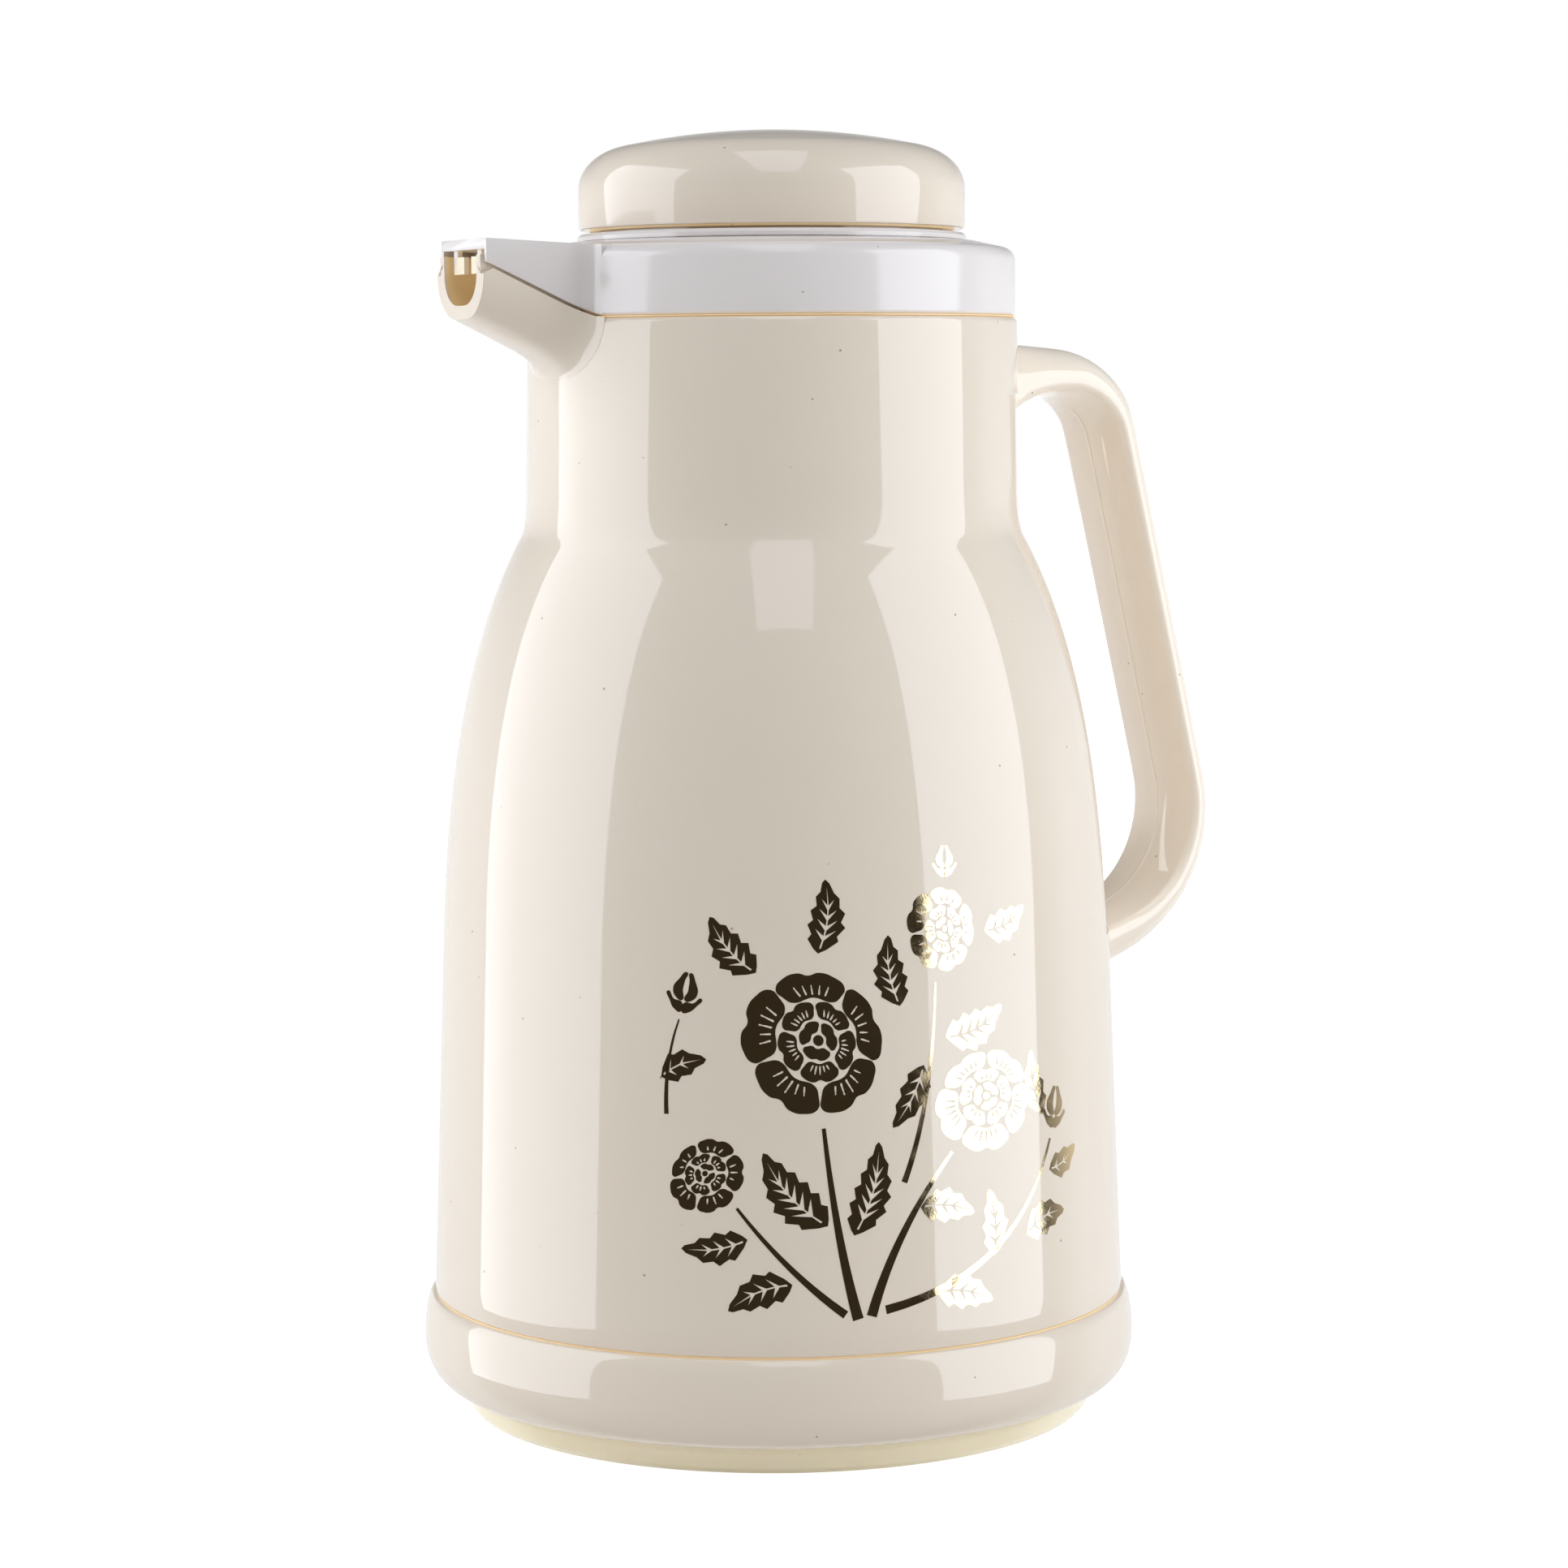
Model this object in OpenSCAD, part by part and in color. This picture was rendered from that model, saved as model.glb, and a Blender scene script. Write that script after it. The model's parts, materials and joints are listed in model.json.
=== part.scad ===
// Insulated pouring jug: a moulded casing with handle and pouring trough, a white collar that
// covers the trough, a double-walled glass liner, a screw-in base and a screw stopper.
// The origin is on the jug's axis at the surface it stands on, the spout points to -X and the
// handle to +X.

/* [Casing] */
// Radius of the casing at its lower edge
body_r = 70.1; // [68:0.1:74]
// How much narrower the casing is where its side starts to curve in
waist_in = 2.7; // [1:0.1:4]
// Height at which the side starts to curve in
waist_z = 98; // [90:1:104]
// Radius of the neck at its foot
neck_foot_r = 49.6; // [48:0.1:51]
// Radius of the neck at its top
neck_r = 49; // [48:0.1:50]
// Height at which the shoulder runs into the neck
shoulder_z = 181; // [176:1:184]
// Height of the neck's top edge
neck_top_z = 219.5; // [214:0.5:226]
// Thickness of the casing's wall
casing_wall = 2.2; // [1.8:0.1:2.6]
// Depth of the moulded recess behind the handle, at the body
recess_low = 0.3; // [0.2:0.1:0.8]
// Depth of the moulded recess behind the handle, at the neck
recess_top = 0.9; // [0.2:0.1:1.2]
// Width of the recess at the neck
recess_top_w = 72; // [60:1:78]
// Width of the recess at the body
recess_low_w = 86; // [70:1:94]

/* [Handle] */
// Reach of the handle's grip from the jug's axis, where its two outer lines would meet
handle_reach = 106.5; // [100:0.5:114]
// Lean of the grip from upright, in degrees
grip_lean = 13.4; // [8:0.1:16]
// Thickness of the grip
grip_thick = 6.6; // [6:0.1:10]
// Width of the handle
handle_w = 24.4; // [20:0.2:30]
// Bulge of the grip's inner face
grip_bulge = 1.3; // [0.4:0.1:2]
// Height of the underside of the upper arm
arm_under_z = 205; // [200:0.5:208]
// Thickness of the upper arm
arm_thick = 9.4; // [8:0.2:11]
// Height at which the lower arm's inner face meets the casing
low_arm_z = 91.3; // [84:0.5:98]
// Slope of the lower arm, in degrees
low_arm_slope = 20; // [12:1:26]
// Thickness of the lower arm, measured upright
low_arm_thick = 10.4; // [8:0.2:12]
// Radius of the fillet where the handle runs into the casing
handle_fillet = 2.6; // [1.5:0.1:4]

/* [Spout] */
// Distance of the trough's front end from the jug's axis
spout_reach = 68; // [62:0.5:74]
// Slope of the trough's floor, in degrees
spout_slope = 25; // [18:1:28]
// Height of the trough's floor at its front end
spout_floor_z = 221.9; // [221:0.1:223]
// Width of the channel in the trough
channel_w = 15.4; // [12:0.2:16]
// Thickness of the trough's floor
trough_floor = 2.6; // [2:0.1:3.2]
// Thickness of the trough's lower walls
trough_wall = 3.3; // [3:0.1:4]
// How far the upper walls step in to make room for the cover
rebate = 1.5; // [1.2:0.1:1.8]
// Widening of the trough and its cover towards the neck, in degrees to each side
trough_taper = 5; // [0:0.5:7]
// Radius of the fillet where the trough runs into the neck
trough_fillet = 5; // [4:0.5:6]

/* [Collar] */
// Radius of the collar
collar_r = 48.6; // [47.6:0.1:49]
// Height of the collar
collar_h = 14.8; // [13:0.1:18]
// Thickness of the collar's side wall
collar_wall = 1.9; // [1.5:0.1:2.2]
// Thickness of the collar's top and of the spout cover
cover_thick = 2; // [1.5:0.1:2.4]
// Thickness of the spout cover's side skirts
skirt_thick = 0.9; // [0.8:0.1:1.1]
// How far the cover's lip stops short of the trough's end
lip_setback = 0.8; // [0.3:0.1:3]
// Radius of the fillet between the cover's sides and the collar
cover_fillet = 6.5; // [4:0.5:8]
// Radius of the rounding round the collar's top
collar_edge = 2.8; // [2:0.1:3.4]
// Radius of the rounding round the collar's lower edge
collar_foot = 0.8; // [0.4:0.1:1.2]
// Fall of the collar's top from its opening to its edge
collar_fall = 1.1; // [0.5:0.1:1.6]
// Width of the visible joint between the casing and the collar
seam_gap = 0.3; // [0.2:0.1:0.6]
// Depth of that joint and of the one above the base ring
seam_depth = 0.9; // [0.5:0.1:1.2]

/* [Neck ring] */
// Radius of the ring's rim, which stands in the collar's opening
rim_r = 38.9; // [38.4:0.1:39.6]
// How far the rim stands above the collar
rim_proud = 1.7; // [1:0.1:3]
// Radius of the bore that the stopper screws into
thread_r = 34.5; // [33:0.1:35]
// Radius of the hole in the ring's seat
seat_r = 24.5; // [24.2:0.1:26]
// Height of the seat's upper face
seat_z = 201; // [199:0.5:203]
// Thickness of the seat
seat_thick = 2; // [1.6:0.1:2.4]

/* [Glass liner] */
// Clearance between the outer bottle and the casing's wall at the waist
liner_space = 5.2; // [4:0.1:8]
// Thickness of the glass
glass = 1.8; // [1.4:0.1:2.2]
// Width of the vacuum space between the bottles
vacuum_gap = 4.2; // [3:0.1:5]
// Outer radius of the liner's neck
liner_neck_r = 29.5; // [29:0.1:30.5]
// Inner radius of the liner's mouth
mouth_r = 23.8; // [23.6:0.1:24.2]
// Height of the liner's lowest point, without its sealed tip
liner_bottom_z = 15; // [14:0.5:17]
// Height at which the liner's bottom dome ends
liner_dome_z = 48; // [40:1:56]
// Height at which the liner's shoulder starts
liner_shoulder_z = 128; // [116:1:130]
// Height at which the liner's shoulder ends
liner_neck_z = 172; // [168:1:178]
// Length of the sealed tip under the liner
tip_len = 6; // [4:0.5:8]
// Radius of the sealed tip
tip_r = 3.5; // [3:0.1:5]
// Thickness of the gasket on the liner's mouth
gasket_thick = 3; // [2:0.1:4]

/* [Base] */
// Height of the joint between the casing and the base ring
base_seam_z = 23.7; // [22:0.1:26]
// How far the base ring stands out past the casing
base_proud = 2.2; // [1.5:0.1:4]
// Height of the base ring's widest place
base_belly_z = 14.5; // [13:0.1:15]
// Height of the foot that shows under the base ring
foot_h = 5.8; // [4.5:0.1:6.5]
// How far the foot stands in from the base ring's widest place
foot_in = 8; // [7.2:0.1:9.6]
// Width of the rim that the jug stands on
foot_rim = 4.5; // [3:0.1:7]
// Depth of the hollow under the base
base_hollow = 3; // [2:0.1:3.4]
// How far the base cap's thread lies in from the foot's edge
base_thread_in = 3.3; // [2.9:0.1:4.3]
// Radius of the rubber cushion under the liner
cushion_r = 30; // [24:0.5:36]

/* [Stopper] */
// Radius of the stopper's cap
cap_r = 38.6; // [37.4:0.1:39]
// Height of the stopper's cap
cap_h = 19.7; // [18:0.1:24]
// Gap between the cap and the neck ring's rim
cap_gap = 0.9; // [0.5:0.1:2]
// Height of the crown of the cap above its rounded edge
crown_h = 3.4; // [1.5:0.1:4]
// Thickness of the cap's wall
cap_wall = 2; // [1.6:0.1:2.4]
// Radius of the plug in the pouring chamber
plug_r = 28.5; // [27.5:0.1:29]
// Height of the plug's lower end
plug_bottom_z = 193; // [190:0.5:195]
// Radius of the plug's lower end, inside the liner's mouth
plug_tip_r = 22.6; // [21.5:0.1:23]
// Radial clearance of the stopper in the neck ring's bore
thread_clear = 0.3; // [0.2:0.05:0.4]
// Thickness of the O-ring's section
o_ring = 2.4; // [2:0.1:3]

/* [Hidden] */
$fn = 96;

fit = 0.2;        // clearance between pieces that are pushed together
touch = 0.02;     // clearance between faces that rest on each other
past = 1;         // how far a cutting shape runs past what it cuts
curve_steps = 22; // steps along the casing's shoulder

cream = "#efe8dc";
white = "#e9e9ec";
silicone = "#f4f1ea";
glass_tint = "#c9d2d6";
foam = "#f6f4ee";

waist_r = body_r - waist_in;
base_r = body_r + base_proud;
foot_r = base_r - foot_in;
base_thread_r = foot_r - base_thread_in;
liner_r = waist_r - casing_wall - liner_space;
collar_z = neck_top_z + seam_gap;
collar_top_z = collar_z + collar_h;
rim_top_z = collar_top_z + rim_proud;
cap_z = rim_top_z + cap_gap;
slope = tan(spout_slope);
trough_hw = channel_w / 2 + trough_wall;
upper_hw = trough_hw - rebate;

// ---- Outlines ------------------------------------------------------------------------------

function lerp(a, b, t) = a + (b - a) * t;
function bezier2(a, b, c, t) = lerp(lerp(a, b, t), lerp(b, c, t), t);
function arc(c, r, a0, a1, n) =
    [for (i = [0:n]) let (a = lerp(a0, a1, i / n)) c + r * [cos(a), sin(a)]];
function ellipse_arc(c, rx, ry, a0, a1, n) =
    [for (i = [0:n]) let (a = lerp(a0, a1, i / n)) c + [rx * cos(a), ry * sin(a)]];
function reverse(v) = [for (i = [len(v) - 1:-1:0]) v[i]];

// The shoulder leaves the straight side along its own line and meets the neck at a slant, where a
// small fillet takes over.
side_lean = (body_r - waist_r) / (waist_z - base_seam_z);
corner_z = lerp(waist_z, shoulder_z, 0.62);
corner_r = waist_r - side_lean * (corner_z - waist_z);
shoulder_foot = [neck_foot_r + 1.2, shoulder_z - 4.5];
shoulder = [for (i = [0:curve_steps])
    bezier2([waist_r, waist_z], [corner_r, corner_z], shoulder_foot, i / curve_steps)];
neck_fillet = [for (i = [1:5])
    bezier2(shoulder_foot, [neck_foot_r, shoulder_z - 1.5], [neck_foot_r, shoulder_z + 5], i / 5)];
casing_outline = concat(
    [[body_r, base_seam_z + seam_gap]], shoulder, neck_fillet, [[neck_r, neck_top_z]]);

// Radius of the casing's outside at height z.
function casing_radius(z, i = 0) =
    i >= len(casing_outline) - 2 || z <= casing_outline[i + 1][1]
        ? let (p = casing_outline[i], q = casing_outline[i + 1])
            lerp(p[0], q[0], (z - p[1]) / (q[1] - p[1]))
        : casing_radius(z, i + 1);

// Sides, tilted walls and floors of a trough: a U with rounded corners, floor at 0, open at the top.
function u_outline(hw, r, top, n) = concat(
    [[-hw, top]],
    arc([-hw + r, r], r, 180, 270, n),
    arc([hw - r, r], r, 270, 360, n),
    [[hw, top]]);

module revolve(points) {
    rotate_extrude() polygon(points);
}

// Skins a stack of closed rings of points, each ring with the same count, from the first to the
// last; the last ring and the first close by the faces given.
function skin_faces(rings, count) = [
    for (k = [0:rings - 2], i = [0:count - 1])
        let (j = (i + 1) % count, a = k * count, b = a + count)
        each [[a + i, a + j, b + j], [a + i, b + j, b + i]]];
function fan(start, count, tip) = [for (i = [0:count - 1]) [start + i, tip, start + (i + 1) % count]];
function flip(faces) = [for (f = faces) reverse(f)];

// The cover's top falls from the lip to the collar's edge, and its skirts' lower edges rise from
// the collar to the lip.
lip_s = spout_reach - lip_setback;
edge_s = collar_r - collar_edge;
skirt_s = collar_r - 3.4;
skirt_rise = atan2(collar_h - 4.4, lip_s - skirt_s);
function cover_top(s) = collar_top_z - collar_fall * (lip_s - s) / (lip_s - edge_s);
function skirt_z(s) = collar_z + (s - skirt_s) * tan(skirt_rise);

// ---- Casing, handle and trough: one moulding on the real jug ---------------------------------

inner_outline = [for (p = casing_outline) [p[0] - casing_wall, p[1]]];
ledge_r = rim_r + 0.6;   // opening in the casing's top, which the neck ring comes up through
ledge_z = neck_top_z - 2.4;

// The collar rests on a low land inside the neck's top edge, which shows in the joint.
module casing_shell() {
    edge = 1.1;          // rounding of the neck's top edge
    land_r = collar_r - seam_depth;
    land_z = collar_z - touch;
    last = len(casing_outline) - 1;
    revolve(concat(
        [for (i = [0:last - 1]) casing_outline[i]],
        arc([neck_r - edge, neck_top_z - edge], edge, 0, 90, 4),
        [[land_r, neck_top_z], [land_r, land_z], [ledge_r, land_z],
            [ledge_r, ledge_z], [neck_r - casing_wall, ledge_z]],
        reverse([for (i = [0:last - 1]) inner_outline[i]])));
}

channel_run = 8;        // how far the channel's cut runs out past the neck
duct_start = 6;         // how far inside the chamber the duct's cut starts

// The channel's space from front_s back to back_s, grown by gap.
module channel(front_s, back_s, gap) {
    top = 2 * channel_w;
    points = [for (p = u_outline(channel_w / 2 + gap, 6, top, 6))
        [p[0], (p[1] - gap) * cos(spout_slope)]];
    length = (front_s - back_s) / cos(spout_slope);
    translate([-front_s, 0, spout_floor_z - (spout_reach - front_s) * slope])
        rotate([0, spout_slope, 0])
        rotate([90, 0, 90])
        linear_extrude(length) polygon(points);
}

module grip_recess_cut() {
    top = arm_under_z - 0.5;
    low = low_arm_z + 5;
    function depth(z) = lerp(recess_low, recess_top, (z - low) / (top - low));
    intersection() {
        revolve(concat(
            [for (p = casing_outline) [p[0] - depth(p[1]), p[1]]],
            reverse([for (p = casing_outline) [p[0] + past, p[1]]])));
        rotate([90, 0, 90]) linear_extrude(body_r + past) polygon([
            [-recess_low_w / 2, low], [recess_low_w / 2, low],
            [recess_low_w / 2, shoulder_z - 20], [recess_top_w / 2, shoulder_z + 8],
            [recess_top_w / 2, top], [-recess_top_w / 2, top],
            [-recess_top_w / 2, shoulder_z + 8], [-recess_low_w / 2, shoulder_z - 20]]);
    }
}

module outer_casing() {
    color(cream) difference() {
        casing_shell();
        channel(neck_r + channel_run, ledge_r - duct_start, 0.05);
        grip_recess_cut();
    }
}

// Handle: a rounded D section carried between an inner rail and an outer rail, both in the XZ
// plane. The points give the place across the handle and from the inner rail (0) to the outer one
// (1); below 0 they bulge inwards.
section = concat(
    [for (i = [-3:3]) let (u = 0.84 * i / 3) [u, pow(u / 0.84, 2) - 1]],
    [for (a = [-60, -30]) [0.84 + 0.16 * cos(a), 0.24 + 0.24 * sin(a)]],
    [for (a = [0:15:180]) [cos(a), 0.24 + 0.76 * sin(a)]],
    [for (a = [210, 240]) [-0.84 + 0.16 * cos(a), 0.24 + 0.24 * sin(a)]]);
count = len(section);

lean = tan(grip_lean);
arm_slope = tan(low_arm_slope);
low_arm_s = casing_radius(low_arm_z);
corner_outer = handle_reach;
low_corner_z = low_arm_z - low_arm_thick + (corner_outer - low_arm_s) * arm_slope;
function grip_outer_s(z) = corner_outer - (z - low_corner_z) * lean;
function grip_inner_s(z) = grip_outer_s(z) - grip_thick / cos(grip_lean);
function low_arm_inner_z(s) = low_arm_z + (s - low_arm_s) * arm_slope;

// Rounds the corner at p between the directions a and b with radius r, from a's side to b's.
function unit(v) = v / norm(v);
function round_corner(p, a, b, r, n) =
    let (
        ua = unit(a), ub = unit(b),
        half = acos(ua * ub) / 2,
        centre = p + unit(ua + ub) * r / sin(half),
        from = p + ua * r / tan(half) - centre,
        turn = cross(ua, ub) > 0 ? -(180 - 2 * half) : 180 - 2 * half)
    [for (i = [0:n]) let (t = turn * i / n)
        centre + [from[0] * cos(t) - from[1] * sin(t), from[0] * sin(t) + from[1] * cos(t)]];

arm_drop = 0.08;    // fall of the upper arm's top, per millimetre outwards
arm_top_z = arm_under_z + arm_thick;
function arm_outer_z(s) = arm_top_z - arm_drop * (s - 57);
under_fillet = 14.6;
fillet_end_s = neck_foot_r + 11.6;
function arm_inner_z(s) = s >= fillet_end_s ? arm_under_z
    : arm_under_z - (under_fillet - sqrt(pow(under_fillet, 2) - pow(fillet_end_s - s, 2)));

grip_down = [sin(grip_lean), -cos(grip_lean)];
inner_top = [grip_inner_s(arm_under_z), arm_under_z];
outer_top_z = arm_outer_z(grip_outer_s(arm_top_z - 2));
outer_top = [grip_outer_s(outer_top_z), outer_top_z];
inner_low_s = (grip_inner_s(low_arm_z) + low_arm_s * arm_slope * lean) / (1 + arm_slope * lean);
inner_low = [inner_low_s, low_arm_inner_z(inner_low_s)];
outer_low = [corner_outer, low_corner_z];
in_dir = [-cos(low_arm_slope), -sin(low_arm_slope)];

root_steps = [0, 0.06, 0.2, 0.42, 0.7, 1];
arm_steps = [6, 9];
low_steps = [4];
inner_rail = concat(
    [for (d = root_steps) let (s = neck_r + d * handle_fillet) [s, arm_inner_z(s)]],
    [for (d = arm_steps) [neck_r + d, arm_inner_z(neck_r + d)]],
    round_corner(inner_top, [-1, 0], grip_down, 13, 8),
    round_corner(inner_low, -grip_down, in_dir, 24, 12),
    [for (d = low_steps) [low_arm_s + d, low_arm_inner_z(low_arm_s + d)]],
    [for (d = reverse(root_steps)) let (s = low_arm_s + d * handle_fillet) [s, low_arm_inner_z(s)]]);
outer_rail = concat(
    [for (d = root_steps) let (s = neck_r + d * handle_fillet) [s, arm_outer_z(s)]],
    [for (d = arm_steps) [neck_r + d, arm_outer_z(neck_r + d)]],
    round_corner(outer_top, [-1, arm_drop], grip_down, 18, 8),
    round_corner(outer_low, -grip_down, in_dir, 34, 12),
    [for (d = low_steps) [low_arm_s + d, low_arm_inner_z(low_arm_s + d) - low_arm_thick]],
    [for (d = reverse(root_steps)) let (s = low_arm_s + d * handle_fillet)
        [s, low_arm_inner_z(s) - low_arm_thick]]);
stations = len(inner_rail);

// Outward growth of a fillet of radius r at distance d from the wall.
function flare(r, d) = d >= r ? 0 : r - sqrt(r * r - pow(r - d, 2));

// Point i of the section at station k, with the flare g.
function handle_point(k, i, g) =
    let (
        p = inner_rail[k], q = outer_rail[k], u = section[i][0],
        grow = 1 + 2 * g / handle_w,
        long = norm(q - p),
        v = section[i][1] < 0 ? section[i][1] * grip_bulge / long : section[i][1],
        grown = (v - 0.5) * (1 + 2 * g / long) + 0.5,
        at = p + (q - p) * grown)
    [at[0], u * handle_w / 2 * grow, at[1]];
// The same point moved along X on to the casing, d outside it, and drawn in to share of its size.
function root_point(k, i, d, share) =
    let (
        g = flare(handle_fillet, d), a = handle_point(k, i, g),
        mid = (inner_rail[k] + outer_rail[k]) / 2,
        y = a[1] * share, z = mid[1] + (a[2] - mid[1]) * share,
        r = casing_radius(z) + touch)
    [sqrt(r * r - y * y) + d, y, z];
roots = len(root_steps);
shares = [0.8, 0.6, 0.4, 0.2];
handle_rings = concat(
    [for (s = reverse(shares)) [for (i = [0:count - 1]) root_point(0, i, 0, s)]],
    [for (k = [0:roots - 1])
        [for (i = [0:count - 1]) root_point(k, i, root_steps[k] * handle_fillet, 1)]],
    [for (k = [roots:stations - roots - 1]) [for (i = [0:count - 1]) handle_point(k, i, 0)]],
    [for (k = [stations - roots:stations - 1])
        [for (i = [0:count - 1])
            root_point(k, i, root_steps[stations - 1 - k] * handle_fillet, 1)]],
    [for (s = shares) [for (i = [0:count - 1]) root_point(stations - 1, i, 0, s)]]);

module handle() {
    rings = len(handle_rings);
    points = concat(
        [for (r = handle_rings) each r],
        [root_point(0, 0, 0, 0), root_point(stations - 1, 0, 0, 0)]);
    faces = concat(
        skin_faces(rings, count),
        fan(0, count, rings * count),
        flip(fan((rings - 1) * count, count, rings * count + 1)));
    color(cream) polyhedron(points, faces);
}

// Trough: U sections that stand upright and slide down the slope to the neck, where they flare
// into it. The walls step in above the line that the cover's skirts reach down to.
function floor_z(s) = spout_floor_z - (spout_reach - s) * slope;
skirt_gap = 0.8;        // between a skirt's lower edge and the step in the wall under it
tip_dip = 1.9;          // how much lower the step is at the trough's front end
dip_len = 2;
function step_z(s) = max(neck_top_z,
    skirt_z(s) - skirt_gap - tip_dip * max(0, s - spout_reach + dip_len) / dip_len);
function widening(s) = (spout_reach - s) * tan(trough_taper);
lower_r = 8.5;
half_arc = 7;
trough_clear = 1.1;     // space between the trough's walls and the cover's underside
function trough_top(s) = cover_top(s) - cover_thick - trough_clear;
// Outer half of the section at s; its step lies at the height that the skirts have at step_s.
function outer_half(s, step_s) =
    let (z0 = floor_z(s) - trough_floor, hw = trough_hw + widening(s), up = hw - rebate)
    concat(
        [[0, z0]],
        [for (i = [0:half_arc]) let (a = 90 * i / half_arc)
            [hw - lower_r + lower_r * sin(a), z0 + lower_r * (1 - cos(a))]],
        [[hw, step_z(step_s)], [up, step_z(step_s)], [up, trough_top(s)]]);
function inner_half(s) = let (z0 = floor_z(s), hw = channel_w / 2) concat(
    [[0, z0]],
    [for (i = [0:half_arc]) let (a = 90 * i / half_arc)
        [hw - 6 + 6 * sin(a), z0 + 6 * (1 - cos(a))]],
    [[hw, lerp(z0 + 6, trough_top(s), 0.5)], [hw, lerp(z0 + 6, trough_top(s), 0.75)],
        [hw, trough_top(s)]]);
halves = half_arc + 5;
// Direction in which each point of the outer half flares: down under the floor, sideways on the
// walls, and not at all above the step.
function flare_dir(i) = i == 0 ? [0, -0.6]
    : i <= half_arc + 1 ? let (a = 90 * (i - 1) / half_arc) [sin(a), -0.6 * cos(a)]
    : i == half_arc + 2 ? [1, 0] : [0, 0];
function mirrored(half) = concat(
    [for (i = [len(half) - 1:-1:1]) [-half[i][0], half[i][1]]], half);
// A ring at distance d from the neck; its outer points follow the neck's curve near the root.
function trough_ring(s, d) =
    let (
        g = flare(trough_fillet, max(d, 0)),
        side = trough_hw + widening(s) + g,
        step_s = d > 3 * trough_fillet ? s : sqrt(pow(neck_r, 2) - pow(side, 2)) + d,
        out = outer_half(s, step_s), inn = inner_half(s),
        grown = [for (i = [0:halves - 1]) out[i] + g * flare_dir(i)],
        loop = concat(mirrored(grown), reverse(mirrored(inn))))
    [for (p = loop) let (r = casing_radius(min(p[1], neck_top_z - 2)))
        d > 3 * trough_fillet ? [-s, p[0], p[1]] : [-sqrt(r * r - p[0] * p[0]) - d, p[0], p[1]]];
// Shares of the fillet's radius; the first ring lies inside the neck and is cut to its curve.
trough_root = [-0.08, 0, 0.05, 0.16, 0.36, 0.64, 1];
trough_rings = concat(
    [for (d = trough_root) trough_ring(neck_r + d * trough_fillet, d * trough_fillet)],
    [for (s = [neck_r + 10, spout_reach - dip_len]) trough_ring(s, s - neck_r)],
    [trough_ring(spout_reach, 100)]);

module spout_trough() {
    loop = len(trough_rings[0]);
    side = loop / 2;
    rings = len(trough_rings);
    last = (rings - 1) * loop;
    // The two end faces run between the outer line and the inner one, point by point.
    end = [for (i = [0:side - 2])
        let (a = i, b = i + 1, c = loop - 2 - i, e = loop - 1 - i)
        each [[a, c, b], [a, e, c]]];
    points = [for (r = trough_rings) each r];
    faces = concat(
        skin_faces(rings, loop),
        end,
        [for (f = end) reverse([for (i = f) i + last])]);
    color(cream) difference() {
        polyhedron(points, flip(faces));
        revolve(concat(
            [[0, shoulder_z + 5]],
            [[neck_foot_r + touch, shoulder_z + 5], [neck_r + touch, neck_top_z]],
            [[neck_r + touch, collar_top_z], [0, collar_top_z]]));
    }
}

// ---- Collar with the spout cover -------------------------------------------------------------

// Plan of the cover: sides that widen towards the collar and run into its circle in fillets.
cover_taper = trough_taper + 1;
cover_hw = upper_hw + fit + skirt_thick;
function cover_half(hw, fillet) =
    let (
        along = [cos(cover_taper), sin(cover_taper)], across = [-along[1], along[0]],
        a = [-lip_s, hw] + fillet * across, d = a * along,
        centre = a + along * (-d - sqrt(d * d - a * a + pow(collar_r + fillet, 2))),
        meet = atan2(centre[1], -centre[0]))
    concat([[-lip_s, hw]], arc(centre, fillet, cover_taper - 90, -meet, 8));
function inside_hw(s) = cover_hw - skirt_thick + (lip_s - s) * tan(cover_taper);

// Everything under the cover's top, lowered by drop.
module under_cover_top(drop) {
    fall = atan2(collar_fall, lip_s - edge_s);
    translate([-lip_s, 0, collar_top_z - drop]) rotate([0, fall, 0])
        translate([-10, -30, -40]) cube([45, 60, 40]);
}

module collar_ring() {
    edge = collar_edge;
    top = collar_top_z;
    low = top - collar_fall;
    hole_r = rim_r + fit;
    revolve(concat(
        arc([collar_r - collar_foot, collar_z + collar_foot], collar_foot, -80, 0, 4),
        arc([collar_r - edge, low - edge], edge, 0, 84, 8),
        [[hole_r + 2, top], [hole_r, top], [hole_r, top - cover_thick],
            [hole_r + 2, top - cover_thick], [collar_r - collar_wall - 1, low - cover_thick],
            [collar_r - collar_wall, low - cover_thick - 1],
            [collar_r - collar_wall, collar_z], [collar_r - collar_foot, collar_z]]));
}

// Snap tab that hangs beside the trough's wall: a stem with a block on it.
module cover_tab(side) {
    stem_w = 1.8;
    block_w = 4.8;
    block_h = 3.3;
    block_z = under_lip - 4.6;
    y = channel_w / 2 - 1.2;
    translate([-lip_s + 0.8, side * (y - stem_w / 2) - stem_w / 2, block_z + block_h - 0.1])
        cube([1, stem_w, under_lip + 0.2 - block_z - block_h]);
    translate([-lip_s + 0.8, side * (y - block_w / 2) - block_w / 2, block_z])
        cube([1, block_w, block_h]);
}
under_lip = collar_top_z - cover_thick;

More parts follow.
